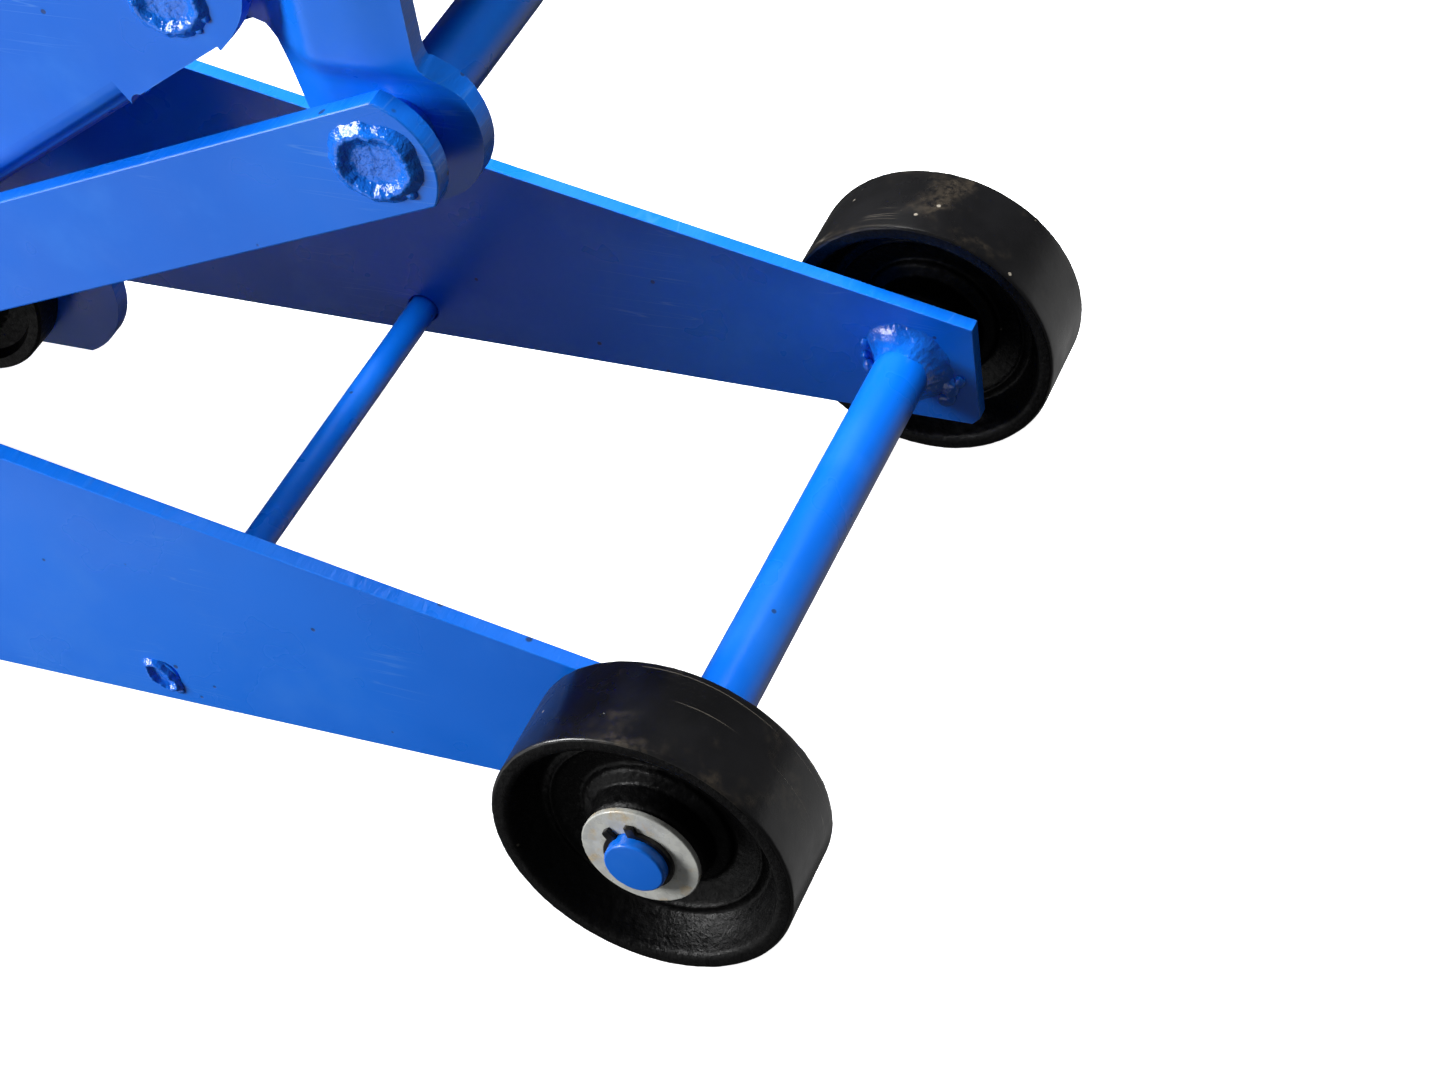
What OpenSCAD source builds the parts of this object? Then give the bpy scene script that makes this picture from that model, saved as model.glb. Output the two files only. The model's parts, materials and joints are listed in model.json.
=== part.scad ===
// Trolley jack: a wheeled chassis, a lift arm with two radius links that keep the saddle level,
// and a hydraulic power unit worked by a handle at the rear.
// Millimetres. +X is the front, +Y is the left side, +Z is up, and the floor is z = 0.

/* [Front wheels and axle] */
// Diameter of the front wheels
wheel_d = 100; // [96:1:104]
// Width of a front wheel over its rims
wheel_w = 34.3; // [30:0.1:36]
// Distance from the middle of the jack to a wheel's outer rim plane
wheel_face_y = 143.3; // [143:0.1:146]
// Diameter of the front axle
axle_d = 20.2; // [18:0.1:22]
// How far the axle end stands out past its washer
axle_end_out = 5.2; // [4:0.1:8]

/* [Chassis] */
// Thickness of a side plate
plate_t = 6; // [5:0.5:6]
// Distance from the middle of the jack to a side plate's outer face
plate_y = 103; // [102:0.5:103]
// Height of the side plates' bottom edge above the floor
plate_bottom = 25.9; // [22:0.1:30]
// Height of the side plates' top edge over the front axle
plate_top = 75; // [72:0.5:78]
// Slope of the side plates' top edge
plate_slope = 12.5; // [12:0.1:13]
// Diameter of the tie rod between the side plates
tie_rod_d = 11; // [8:0.5:14]

/* [Lifting linkage] */
// Distance between the lift arm's two pivots
arm_len = 360; // [355:1:362]
// Angle of the lift arm's pivot line as modelled
arm_angle = 22.5; // [22:0.1:23]
// Width of a radius link
link_w = 36.5; // [32:0.5:40]
// Thickness of a radius link
link_t = 7; // [5:0.5:7]
// Diameter of the cross shaft that joins the radius links
cross_shaft_d = 21; // [18:0.5:22]
// Diameter of the pin that carries the saddle bracket
arm_pin_d = 20; // [16:0.5:20]
// Diameter of the main pivot shaft
main_shaft_d = 25; // [22:0.5:26]

/* [Saddle] */
// Diameter of the saddle
saddle_d = 96; // [80:1:110]
// Height of the saddle over the bracket
saddle_h = 26; // [24:1:34]

/* [Power unit] */
// Length of the tail lever from the main pivot to its roller
lever_len = 75; // [74:0.5:76]
// Diameter of the ram's rod
ram_d = 34; // [30:1:36]
// Bore of the ram cylinder
ram_bore = 50; // [48:1:52]
// Outer diameter of the oil tank
tank_d = 82; // [78:1:84]

/* [Handle] */
// Angle of the handle over the floor as modelled
handle_angle = 50; // [45:1:55]
// Distance from the socket pivot to the end of the grip
handle_len = 760; // [600:10:900]
// Diameter of the handle tubes
handle_d = 27; // [25:0.5:28]

/* [Casters] */
// Diameter of the rear caster wheels
caster_d = 60; // [56:1:62]
// How far the caster wheel trails its kingpin
caster_trail = 22; // [18:1:24]

/* [Hidden] */
$fn = 96;
run = 0.05;                 // radial clearance of a shaft that turns in a bore
loose = 0.3;                // radial clearance of the open pivot at the cross shaft

// Heights and places along the jack, with x = 0 at the front axle
wheel_r = wheel_d / 2;
axle_r = axle_d / 2;
front_end_x = 25.6;
main_x = -470.4;
main_z = 158;
link_dx = 63.3;             // from the arm's pivots to the links' pivots
link_dz = -38.8;
arm_pin_x = main_x + arm_len * cos(arm_angle);
arm_pin_z = main_z + arm_len * sin(arm_angle);
link_rear_x = main_x + link_dx;
link_rear_z = main_z + link_dz;
link_front_x = arm_pin_x + link_dx;
link_front_z = arm_pin_z + link_dz;

// Chassis
plate_in = plate_y - plate_t;
tie_x = -194.8;
tie_z = 37.3;
tie_gap = 0.6;              // the plates' holes are this much wider all round
plate_rear_x = -790;
kick_x = -680;              // the side plates rise here to clear the casters
kick_z = 68;
rail_in = 45;               // inner face of a cradle rail
rail_t = 7;
rail_z0 = 36;
rail_h = 61;
rail_front_x = -291.5;
rail_end_r = 34;
cross_bar_x = -430;
cross_bar_z = 50;
cross_bar_r = 8;
cross_plate_x = -785;
cross_plate_t = 6;
stop_x = -355;
stop_z = 68;
stop_pin_r = 8;
stop_flange_r = 38;
stop_mid_r = 20;

// Front wheel
wheel_in_y = wheel_face_y - wheel_w;
hub_r = 20;
washer_t = 2.2;
washer_r = 19.5;
clip_t = 1.7;
clip_r = 13.6;
hub_end_y = wheel_face_y - washer_t;
axle_end_y = wheel_face_y + axle_end_out;

// Lift arm, a pressed channel; u runs along its pivot line and v across it
arm_out = 76;
arm_t = 6;
arm_in = arm_out - arm_t;
arm_top_v = 34;
arm_bend = 10;              // outer radius of the channel's bends
arm_taper = 11.5;           // angle between the pivot line and the bottom edge
arm_nose_below = 21.4;      // from the front pivot down to the bottom edge
arm_nose_r = 54;            // of the nose's lower front
arm_nose_top_r = 26;        // of the nose's upper front
arm_web_from_u = 24;
arm_web_to_u = 300;         // the nose is an open fork from here on
arm_tail_r = 36;
arm_tail_corner_r = 16;
lip_w = 12;
lip_from_u = 60;
lip_to_u = 331;
nose_step = 2.3;            // the nose's edge is cut back past the lips
arm_stop_u = 121.5;
arm_stop_v = -16.6;
arm_stop_r = 10;

// Radius links
link_out = 86;
link_in = link_out - link_t;
link_corner = 10;           // from the pivot to the end's sharp corners
link_apex = 18.6;           // from the pivot to the top of the end's arc
link_pin_r = 10;
cross_shaft_r = cross_shaft_d / 2;
arm_pin_r = arm_pin_d / 2;
main_shaft_r = main_shaft_d / 2;

// Saddle bracket
bracket_t = 7;
bracket_rear_y = 62;        // outer face of a wall's rear, inside the arm's nose
bracket_ear_y = 69;         // outer face of the ears
bracket_cheek_y = 75;       // outer face of the bulged cheeks over the links
bracket_fold_z = -20;       // the cheeks' fold over the ears, from the front pivot's height
bracket_top = arm_pin_z + 26;
bracket_front_x = arm_pin_x + 75.3;
bracket_rear_x = arm_pin_x - 26;
ear_r = 25.5;
saddle_x = arm_pin_x + 28;
saddle_stem_r = 15;
saddle_top = bracket_top + saddle_h;

// Tail lever, ram and cylinder
lever_in = 24;
lever_t = 8;
tail_roller_r = 20;
tail_pin_r = 8;
hub_tube_r = 19;
lever_z = main_z - lever_len;
ram_z = 86;
ram_gap = 1.2;
ram_r = ram_d / 2;
bore_r = ram_bore / 2;
ram_head_t = 12;
ram_face_x = main_x - tail_roller_r - ram_gap;
gland_x = -549;
gland_t = 26;
cyl_front_x = gland_x - gland_t;
block_front_x = -696;
block_rear_x = -775;
block_z0 = 40;
block_top = 122;
tank_r = tank_d / 2;
tank_t = 3;
filler_x = -640;
filler_h = 5;               // of the filler neck over the tank
filler_r = 6;

// Handle socket and pump
socket_x = -712;
socket_z = 165;
socket_pin_r = 8;
pump_x = socket_x - 30;
pump_roller_r = 8;
pump_gap = 0.6;
pump_r = 9;
pump_top = socket_z - pump_roller_r - pump_gap;
valve_ball_r = 9;
handle_r = handle_d / 2;
socket_from = 36;           // along the handle from the socket pivot
socket_to = 165;
tube_from = 52;
tube_split = 430;
grip_len = 120;
grip_r = 17;

// Casters
caster_x = -742;
caster_y = 139;
caster_r = caster_d / 2;
caster_w = 24;
shelf_z = 76;
shelf_t = 6;
fork_top = 66;
fork_t = 4;
kingpin_r = 6;

// The origin lies on the floor under the middle of the whole jack, handle included
rear_end_x = socket_x - handle_len * cos(handle_angle) - grip_r * sin(handle_angle);
shift_x = -(wheel_r + rear_end_x) / 2;

BLUE = "#1763d8";
BLACK = "#17171a";
ZINC = "#c9ccd0";
STEEL = "#8b9096";

// ---- helpers ----

// Puts the front axle's frame in the jack's frame
module placed() translate([shift_x, 0, 0]) children();

// Extrudes an outline drawn in X and Z from y0 to y1
module across(y0, y1) translate([0, y1, 0]) rotate([90, 0, 0]) linear_extrude(y1 - y0) children();

// Round bar or ring along Y
module bar_y(x, z, r, y0, y1, bore = 0) across(y0, y1) translate([x, z]) difference() {
    circle(r);
    if (bore > 0) circle(bore);
}

// Round bar or ring along X
module bar_x(x0, x1, z, r, bore = 0) translate([x0, 0, z]) rotate([0, 90, 0])
    linear_extrude(x1 - x0) difference() {
        circle(r);
        if (bore > 0) circle(bore);
    }

module both_sides() {
    children();
    mirror([0, 1, 0]) children();
}

module side(s) mirror([0, s < 0 ? 1 : 0, 0]) children();

// The four points where the outer tangents of two circles touch them
function tangents(c1, r1, c2, r2) =
    let (d = c2 - c1, a = atan2(d.y, d.x), b = acos((r1 - r2) / norm(d)))
    [for (p = [[c1, r1, 1], [c2, r2, 1], [c2, r2, -1], [c1, r1, -1]])
        p[0] + p[1] * [cos(a + p[2] * b), sin(a + p[2] * b)]];

// Outline of two round ends joined by straight sides
module taper_bar(c1, r1, c2, r2) {
    translate(c1) circle(r1);
    translate(c2) circle(r2);
    polygon(tangents(c1, r1, c2, r2));
}

// Low round heap of weld metal on a face at y, for a plug-welded pin end
module weld_heap(x, z, r, y, h) translate([x, y, z]) rotate([-90, 0, 0])
    rotate_extrude() polygon([[0, 0], [r, 0], [r * 0.9, h * 0.6], [r * 0.6, h], [0, h]]);

module hex_nut(af, t, bore) linear_extrude(t) difference() {
    circle(af / sqrt(3), $fn = 6);
    circle(bore);
}

// ---- chassis ----

function top_z(x) = plate_top - tan(plate_slope) * x;

module side_plate_outline() difference() {
    union() {
        polygon([
            [front_end_x - 3, plate_bottom], [front_end_x, plate_bottom + 3],
            [front_end_x, top_z(front_end_x)],
            [main_x, top_z(main_x)], [main_x, plate_bottom]
        ]);
        translate([main_x, main_z]) circle(26);
        polygon([
            [main_x, plate_bottom], [main_x, main_z + 26], [main_x - 12, main_z + 23],
            [plate_rear_x + 8, 112], [plate_rear_x, 104], [plate_rear_x, kick_z],
            [kick_x, kick_z], [kick_x + 60, plate_bottom]
        ]);
    }
    circle_at(0, wheel_r, axle_r);
    circle_at(tie_x + tie_gap / 2, tie_z + tie_gap / 2, tie_rod_d / 2 + tie_gap);
    circle_at(main_x, main_z, main_shaft_r);
    circle_at(link_rear_x, link_rear_z, link_pin_r + run);
}

module circle_at(x, z, r) translate([x, z]) circle(r);

module side_plate(s) color(BLUE) placed() side(s) across(plate_in, plate_y) side_plate_outline();
module side_plate_left() side_plate(1);
module side_plate_right() side_plate(-1);

module front_axle() color(BLUE) placed() difference() {
    bar_y(0, wheel_r, axle_r, -axle_end_y, axle_end_y);
    both_sides() bar_y(0, wheel_r, axle_r + 1, wheel_face_y, wheel_face_y + clip_t, axle_r - 1);
}

module axle_weld_beads() color(BLUE) placed() both_sides()
    translate([0, plate_in, wheel_r]) rotate([90, 0, 0]) rotate_extrude()
        polygon([[axle_r, 0], [axle_r + 6, 0], [axle_r + 3.6, 3], [axle_r, 6]]);

module tie_rod() color(BLUE) placed() bar_y(tie_x, tie_z, tie_rod_d / 2, -plate_y, plate_y);

module tie_rod_welds() color(BLUE) placed() both_sides() weld_heap(tie_x, tie_z, 9, plate_y, 2);

module main_pivot_shaft() color(STEEL) placed()
    bar_y(main_x, main_z, main_shaft_r, -plate_y - 19, plate_y + 19);

module main_pivot_spacers() color(STEEL) placed() both_sides()
    bar_y(main_x, main_z, main_shaft_r + 5, arm_out + 0.5, plate_in, main_shaft_r);

module main_pivot_nuts() color(ZINC) placed() both_sides() {
    bar_y(main_x, main_z, main_shaft_r + 10, plate_y, plate_y + 3, main_shaft_r);
    translate([main_x, plate_y + 16, main_z]) rotate([90, 0, 0]) hex_nut(38, 13, main_shaft_r);
}

// Flat bar on edge, its front end cut to an arc
module cradle_rail_outline() difference() {
    intersection() {
        translate([block_rear_x - 4, rail_z0]) square([rail_front_x - block_rear_x + 4, rail_h]);
        union() {
            circle_at(rail_front_x - rail_end_r, rail_z0 + rail_h / 2, rail_end_r);
            translate([block_rear_x - 4, rail_z0])
                square([rail_front_x - rail_end_r - block_rear_x + 4, rail_h]);
        }
    }
    circle_at(cross_bar_x, cross_bar_z, cross_bar_r);
    circle_at(stop_x, stop_z, stop_pin_r);
    for (p = bolt_spots()) circle_at(p.x, p.y, 6);
}

function bolt_spots() = [[-712, 52], [-712, 84], [-758, 52], [-758, 84]];

module cradle_rail(s) color(BLUE) placed() side(s)
    across(rail_in, rail_in + rail_t) cradle_rail_outline();
module cradle_rail_left() cradle_rail(1);
module cradle_rail_right() cradle_rail(-1);

module cradle_cross_bar() color(BLUE) placed()
    bar_y(cross_bar_x, cross_bar_z, cross_bar_r, -plate_in, plate_in);

module rear_cross_plate() color(BLUE) placed()
    translate([cross_plate_x, -plate_in, kick_z]) cube([cross_plate_t, 2 * plate_in, 40]);

module cradle_bolts() color(ZINC) placed() both_sides() for (p = bolt_spots()) {
    bar_y(p.x, p.y, 6, rail_in - 14, rail_in + rail_t);
    translate([p.x, rail_in + rail_t + 8, p.y]) rotate([90, 0, 0]) hex_nut(19, 8, 0);
}

module stop_roller_pin() color(ZINC) placed() {
    bar_y(stop_x, stop_z, stop_pin_r, -rail_in - rail_t - 2, rail_in + rail_t + 2);
    both_sides()
        bar_y(stop_x, stop_z, stop_pin_r + 3, rail_in + rail_t + 2, rail_in + rail_t + 5);
}

// Angle bracket outside a side plate, its shelf over the caster
module caster_bracket(s) color(BLUE) placed() side(s) difference() {
    union() {
        translate([caster_x - 32, plate_y, shelf_z]) cube([64, 69, shelf_t]);
        translate([caster_x - 32, plate_y, shelf_z + shelf_t]) cube([64, 6, 18]);
        for (x = [caster_x - 32, caster_x + 26]) translate([x, plate_y + 6, shelf_z + shelf_t])
            rotate([90, 0, 90]) linear_extrude(6) polygon([[0, 0], [44, 0], [0, 18]]);
    }
    translate([caster_x, caster_y, shelf_z - 1]) cylinder(r = kingpin_r + run, h = shelf_t + 2);
}
module caster_bracket_left() caster_bracket(1);
module caster_bracket_right() caster_bracket(-1);

// ---- front wheels ----

// Half section of a wheel: x is the radius and y the distance from its inner rim plane
module wheel_section() {
    edge = 3;
    rim_t = 5;
    web_y = wheel_w / 2;
    intersection() {
        polygon([[0, 0], [wheel_r, 0], [wheel_r, wheel_w], [0, wheel_w]]);
        union() {
            translate([wheel_r - edge, edge]) circle(edge);
            translate([wheel_r - edge, wheel_w - edge]) circle(edge);
            translate([wheel_r - rim_t, edge]) square([rim_t, wheel_w - 2 * edge]);
            translate([wheel_r - rim_t, 0]) square([rim_t - edge, wheel_w]);
            polygon([
                [wheel_r - rim_t + 0.1, 0], [wheel_r - rim_t + 0.1, wheel_w],
                [wheel_r - rim_t, wheel_w], [wheel_r - rim_t - 2.5, web_y + 9],
                [wheel_r - rim_t - 7, web_y + 5], [hub_r + 6, web_y + 3.5],
                [hub_r + 1.5, web_y + 6], [hub_r, hub_end_y - wheel_in_y],
                [axle_r + run, hub_end_y - wheel_in_y], [axle_r + run, 0],
                [hub_r, 0], [hub_r + 1.5, web_y - 6], [hub_r + 6, web_y - 3.5],
                [wheel_r - rim_t - 7, web_y - 5], [wheel_r - rim_t - 2.5, web_y - 9],
                [wheel_r - rim_t, 0]
            ]);
        }
    }
}

module front_wheel(s) color(BLACK) placed() side(s)
    translate([0, wheel_in_y, wheel_r]) rotate([-90, 0, 0]) rotate_extrude() wheel_section();
module front_wheel_left() front_wheel(1);
module front_wheel_right() front_wheel(-1);

module wheel_inner_spacers() color(ZINC) placed() both_sides()
    bar_y(0, wheel_r, hub_r - 1, plate_y, wheel_in_y - 0.1, axle_r);

module wheel_washers() color(ZINC) placed() both_sides()
    bar_y(0, wheel_r, washer_r, hub_end_y + 0.1, wheel_face_y, axle_r);

// Open spring clip in the axle's groove; its two eyes flank the gap
module wheel_circlips() color(BLACK) placed() both_sides()
    across(wheel_face_y, wheel_face_y + clip_t) translate([0, wheel_r]) rotate(115) {
        difference() {
            union() {
                circle(clip_r);
                for (a = [-17, 17]) rotate(a) translate([clip_r, 0]) circle(2.2);
            }
            circle(axle_r - 1);
            polygon([[0, 0], [30, 5], [30, -5]]);
        }
    }

// ---- lift arm ----

module arm_frame() translate([main_x, 0, main_z]) rotate([0, -arm_angle, 0]) children();

arm_dir = [cos(arm_taper), sin(arm_taper)];
arm_up = [-sin(arm_taper), cos(arm_taper)];
arm_edge_0 = [arm_len, -arm_nose_below] - arm_dir * ((arm_len - 18) / cos(arm_taper));
arm_edge_1 = [arm_len, -arm_nose_below] - arm_dir * 2;
nose_centre = arm_edge_1 + arm_up * arm_nose_r;
nose_top_v = arm_top_v - arm_nose_top_r;
nose_top_u = nose_centre.x
    + sqrt(pow(arm_nose_r - arm_nose_top_r, 2) - pow(nose_centre.y - nose_top_v, 2));
nose_top_centre = [nose_top_u, nose_top_v];
nose_dir = (nose_top_centre - nose_centre) / norm(nose_top_centre - nose_centre);

// Angle of the flat rear edge's normal, where it leaves the tail's arc
tail_edge_angle = arm_taper - 90
    - acos((arm_tail_r - arm_tail_corner_r) / norm(arm_edge_0 + arm_up * arm_tail_corner_r));

function arc(c, r, a0, a1, n = 12) = [for (i = [0:n]) let (a = a0 + (a1 - a0) * i / n)
    c + r * [cos(a), sin(a)]];

// Side outline of the channel: tail arc, bottom edge, nose in two arcs, top edge
module arm_outline() polygon(concat(
    arc([0, 0], arm_tail_r, asin(arm_top_v / arm_tail_r), 360 + tail_edge_angle, 24),
    arc(arm_edge_0 + arm_up * arm_tail_corner_r, arm_tail_corner_r,
        360 + tail_edge_angle, 270 + arm_taper),
    arc(nose_centre, arm_nose_r, arm_taper - 90, atan2(nose_dir.y, nose_dir.x)),
    arc(nose_top_centre, arm_nose_top_r, atan2(nose_dir.y, nose_dir.x), 90, 24)
));

// Quarter bend of the channel's section, with a short straight that joins the wall
module bend_section() {
    difference() {
        intersection() {
            circle(arm_bend);
            square(arm_bend);
        }
        circle(arm_bend - arm_t);
    }
    translate([arm_bend - arm_t, -2]) square([arm_t, 2]);
}

// Web and its two bends, along the pivot line
module arm_web() translate([arm_web_from_u, 0, 0]) rotate([90, 0, 90])
    linear_extrude(arm_web_to_u - arm_web_from_u) {
        translate([arm_bend - arm_out, arm_top_v - arm_t])
            square([2 * (arm_out - arm_bend), arm_t]);
        for (m = [0, 1]) mirror([m, 0])
            translate([arm_out - arm_bend, arm_top_v - arm_bend]) bend_section();
    }

// Rolled lips along the bottom edge
module arm_lips() both_sides()
    translate([arm_edge_0.x, 0, arm_edge_0.y]) rotate([0, -arm_taper, 0])
        translate([lip_from_u, 0, 0]) rotate([90, 0, 90]) linear_extrude(lip_to_u - lip_from_u - 18) {
            translate([arm_out - arm_bend, arm_bend]) mirror([0, 1]) bend_section();
            translate([arm_out - arm_t - lip_w, 0]) square([lip_w + arm_t - arm_bend, arm_t]);
        }

// Room for the web's bends and the rolled lips in a side wall, and the step at the nose
module arm_wall_room() {
    translate([arm_web_from_u, arm_top_v - arm_bend])
        square([arm_web_to_u - arm_web_from_u, arm_bend]);
    translate(arm_edge_0) rotate(arm_taper) translate([lip_from_u, 0])
        square([lip_to_u - lip_from_u - 18, arm_bend]);
    translate(arm_edge_0) rotate(arm_taper) translate([lip_to_u - 15, 0]) {
        circle(3.2);
        translate([0, -1]) square([40, 1 + nose_step]);
    }
}

module lift_arm() color(BLUE) placed() arm_frame() difference() {
    union() {
        both_sides() across(arm_in, arm_out) difference() {
            arm_outline();
            arm_wall_room();
        }
        intersection() {
            across(-arm_out, arm_out) arm_outline();
            arm_web();
        }
        arm_lips();
    }
    bar_y(0, 0, main_shaft_r + run, -arm_out - 1, arm_out + 1);
    bar_y(arm_len, 0, arm_pin_r, -arm_out - 1, arm_out + 1);
}

module arm_hub_tube() color(STEEL) placed()
    bar_y(main_x, main_z, hub_tube_r, -arm_in, arm_in, main_shaft_r + run);

module tail_levers() color(BLUE) placed() both_sides() across(lever_in, lever_in + lever_t)
    difference() {
        taper_bar([main_x, main_z], 32, [main_x, lever_z], 15);
        circle_at(main_x, main_z, hub_tube_r);
        circle_at(main_x, lever_z, tail_pin_r);
    }

module tail_roller_pin() color(ZINC) placed()
    bar_y(main_x, lever_z, tail_pin_r, -lever_in - lever_t - 3, lever_in + lever_t + 3);

module tail_roller() color(STEEL) placed()
    bar_y(main_x, lever_z, tail_roller_r, -lever_in + 0.5, lever_in - 0.5, tail_pin_r + run);

module arm_stop_tube() color(BLUE) placed() arm_frame()
    bar_y(arm_stop_u, arm_stop_v, arm_stop_r, -arm_in, arm_in, arm_stop_r - 3);

module arm_pin() color(STEEL) placed() bar_y(arm_pin_x, arm_pin_z, arm_pin_r, -arm_out, arm_out);

module arm_pin_welds() color(BLUE) placed() both_sides()
    weld_heap(arm_pin_x, arm_pin_z, 15, arm_out, 2.3);

// ---- radius links ----

link_end_r = (pow(link_w / 2, 2) + pow(link_apex - link_corner, 2)) / (2 * (link_apex - link_corner));

// Shallow arc with sharp corners that ends a link
module arc_cap() intersection() {
    circle(link_end_r);
    translate([-20, -link_w / 2]) square([20 + link_end_r, link_w]);
}

module link_frame() translate([link_rear_x, 0, link_rear_z]) rotate([0, -arm_angle, 0]) children();

module radius_link(s) color(BLUE) placed() link_frame() side(s) across(link_in, link_out)
    difference() {
        union() {
            translate([0, -link_w / 2]) square([arm_len, link_w]);
            translate([arm_len + link_apex - link_end_r, 0]) arc_cap();
            mirror([1, 0]) translate([link_apex - link_end_r, 0]) arc_cap();
        }
        circle(link_pin_r);
        translate([arm_len, 0]) circle(cross_shaft_r);
    }
module radius_link_left() radius_link(1);
module radius_link_right() radius_link(-1);

module link_cross_shaft() color(BLUE) placed()
    bar_y(link_front_x, link_front_z, cross_shaft_r, -link_out, link_out);

module link_welds() color(BLUE) placed() both_sides()
    weld_heap(link_front_x, link_front_z, 16.5, link_out, 3);

// Stub pins welded into the links' rear ends, turning in the side plates
module link_pivot_pins() color(STEEL) placed() both_sides() difference() {
    union() {
        bar_y(link_rear_x, link_rear_z, link_pin_r, link_in, plate_y + 8);
        bar_y(link_rear_x, link_rear_z, link_pin_r + 5, link_out, plate_in - 0.5, link_pin_r);
    }
    bar_y(link_rear_x, link_rear_z, link_pin_r + 1, plate_y + 3, plate_y + 5, link_pin_r - 1);
}

module link_pin_circlips() color(ZINC) placed() both_sides() {
    bar_y(link_rear_x, link_rear_z, link_pin_r + 6, plate_y + 0.5, plate_y + 3, link_pin_r);
    bar_y(link_rear_x, link_rear_z, link_pin_r + 3, plate_y + 3, plate_y + 5, link_pin_r - 1);
}

// ---- saddle and bracket ----

// Side outline of a bracket wall, round the arm pin and down to the cross shaft
module bracket_outline() difference() {
    union() {
        circle_at(link_front_x, link_front_z, ear_r);
        circle_at(arm_pin_x, arm_pin_z, 18);
        difference() {
            polygon([
                [bracket_rear_x, bracket_top], [bracket_rear_x, arm_pin_z],
                [arm_pin_x - 8, arm_pin_z - 8], [arm_pin_x + 15, arm_pin_z - 12],
                [arm_pin_x + 22, arm_pin_z - 14.4], [arm_pin_x + 24.4, arm_pin_z - 18],
                [arm_pin_x + 31, arm_pin_z - 41], [link_front_x - ear_r * cos(20),
                link_front_z - ear_r * sin(20)], [link_front_x, link_front_z],
                [link_front_x + ear_r * cos(35), link_front_z + ear_r * sin(35)],
                [bracket_front_x, link_front_z + 23.5], [bracket_front_x, bracket_top]
            ]);
            circle_at(bracket_front_x + 9, link_front_z + 26, 9);
        }
    }
    circle_at(arm_pin_x, arm_pin_z, arm_pin_r + run);
    circle_at(link_front_x, link_front_z, cross_shaft_r + loose);
}

bracket_joggle_x0 = arm_pin_x + 24;
bracket_joggle_x1 = arm_pin_x + 42;

// Plan of a wall: its front bulges out, its rear runs inside the arm's nose
module bracket_plan() {
    y0 = bracket_rear_y - bracket_t;
    y1 = bracket_cheek_y - bracket_t;
    polygon([
        [bracket_rear_x, y0], [bracket_joggle_x0, y0], [bracket_joggle_x1, y1],
        [bracket_front_x, y1], [bracket_front_x, bracket_cheek_y],
        [bracket_joggle_x1, bracket_cheek_y], [bracket_joggle_x0, bracket_rear_y],
        [bracket_rear_x, bracket_rear_y]
    ]);
}

// The same plan filled in to the middle of the jack, for the top
module bracket_top_plan() polygon([
    [bracket_rear_x, 0], [bracket_rear_x, bracket_rear_y], [bracket_joggle_x0, bracket_rear_y],
    [bracket_joggle_x1, bracket_cheek_y], [bracket_front_x, bracket_cheek_y], [bracket_front_x, 0]
]);

// Section of a wall, stepped in below the cheek to the ear's plane
module bracket_section() {
    fold = arm_pin_z + bracket_fold_z;
    ear_in = bracket_ear_y - bracket_t;
    ear_bottom = link_front_z - ear_r - 1;
    cheek_in = bracket_cheek_y - bracket_t;
    polygon([
        [ear_in, ear_bottom], [bracket_ear_y, ear_bottom], [bracket_ear_y, fold - 5],
        [bracket_cheek_y, fold + 5], [bracket_cheek_y, bracket_top - 1], [cheek_in, bracket_top - 1],
        [cheek_in, fold + 9], [ear_in, fold - 1]
    ]);
}

module bracket_wall() {
    fold = arm_pin_z + bracket_fold_z;
    ear_rear_x = bracket_joggle_x0 - 6;
    intersection() {
        across(0, bracket_cheek_y) bracket_outline();
        union() {
            translate([0, 0, fold + 5]) linear_extrude(bracket_top - fold - 5) bracket_plan();
            translate([bracket_joggle_x1 - 1, 0, 0]) rotate([90, 0, 90])
                linear_extrude(ear_r * 3) bracket_section();
            translate([ear_rear_x, bracket_ear_y - bracket_t, 0])
                cube([bracket_joggle_x1 - ear_rear_x, bracket_t, fold + 9]);
        }
    }
}

module saddle_bracket() color(BLUE) placed() difference() {
    union() {
        both_sides() bracket_wall();
        both_sides() translate([0, 0, bracket_top - bracket_t])
            linear_extrude(bracket_t) bracket_top_plan();
        translate([saddle_x, 0, bracket_top - bracket_t - 8]) cylinder(r = 24, h = 8);
    }
    translate([saddle_x, 0, bracket_top - 40]) cylinder(r = saddle_stem_r + run, h = 60);
}

module bracket_spacers() color(ZINC) placed() both_sides()
    bar_y(arm_pin_x, arm_pin_z, arm_pin_r + 6, bracket_rear_y, arm_in - 0.5, arm_pin_r + run);

// Round cup with four blunt teeth on its rim and a stem down through the bracket
module saddle() color(BLACK) placed() translate([saddle_x, 0, 0]) {
    difference() {
        union() {
            translate([0, 0, bracket_top + 0.3]) cylinder(r = 30, h = 6);
            translate([0, 0, bracket_top + 6.3]) rotate_extrude() polygon([
                [0, 0], [30, 0], [saddle_d / 2, 7], [saddle_d / 2, saddle_h - 11],
                [saddle_d / 2 - 7, saddle_h - 11], [saddle_d / 2 - 8, 8], [0, 8]
            ]);
        }
        for (a = [0:90:270]) rotate(a) translate([saddle_d / 2, 0, saddle_top - 4.7])
            cube([30, 26, 10], center = true);
    }
    for (a = [0:90:270]) rotate(a + 45)
        translate([saddle_d / 2 - 6.8, -9, saddle_top - 6.7]) cube([6, 18, 6.7]);
    translate([0, 0, bracket_top - 22]) difference() {
        cylinder(r = saddle_stem_r, h = 22.3);
        translate([0, 0, 3]) rotate_extrude() translate([saddle_stem_r - 1, 0]) square([2, 2]);
    }
}

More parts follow.
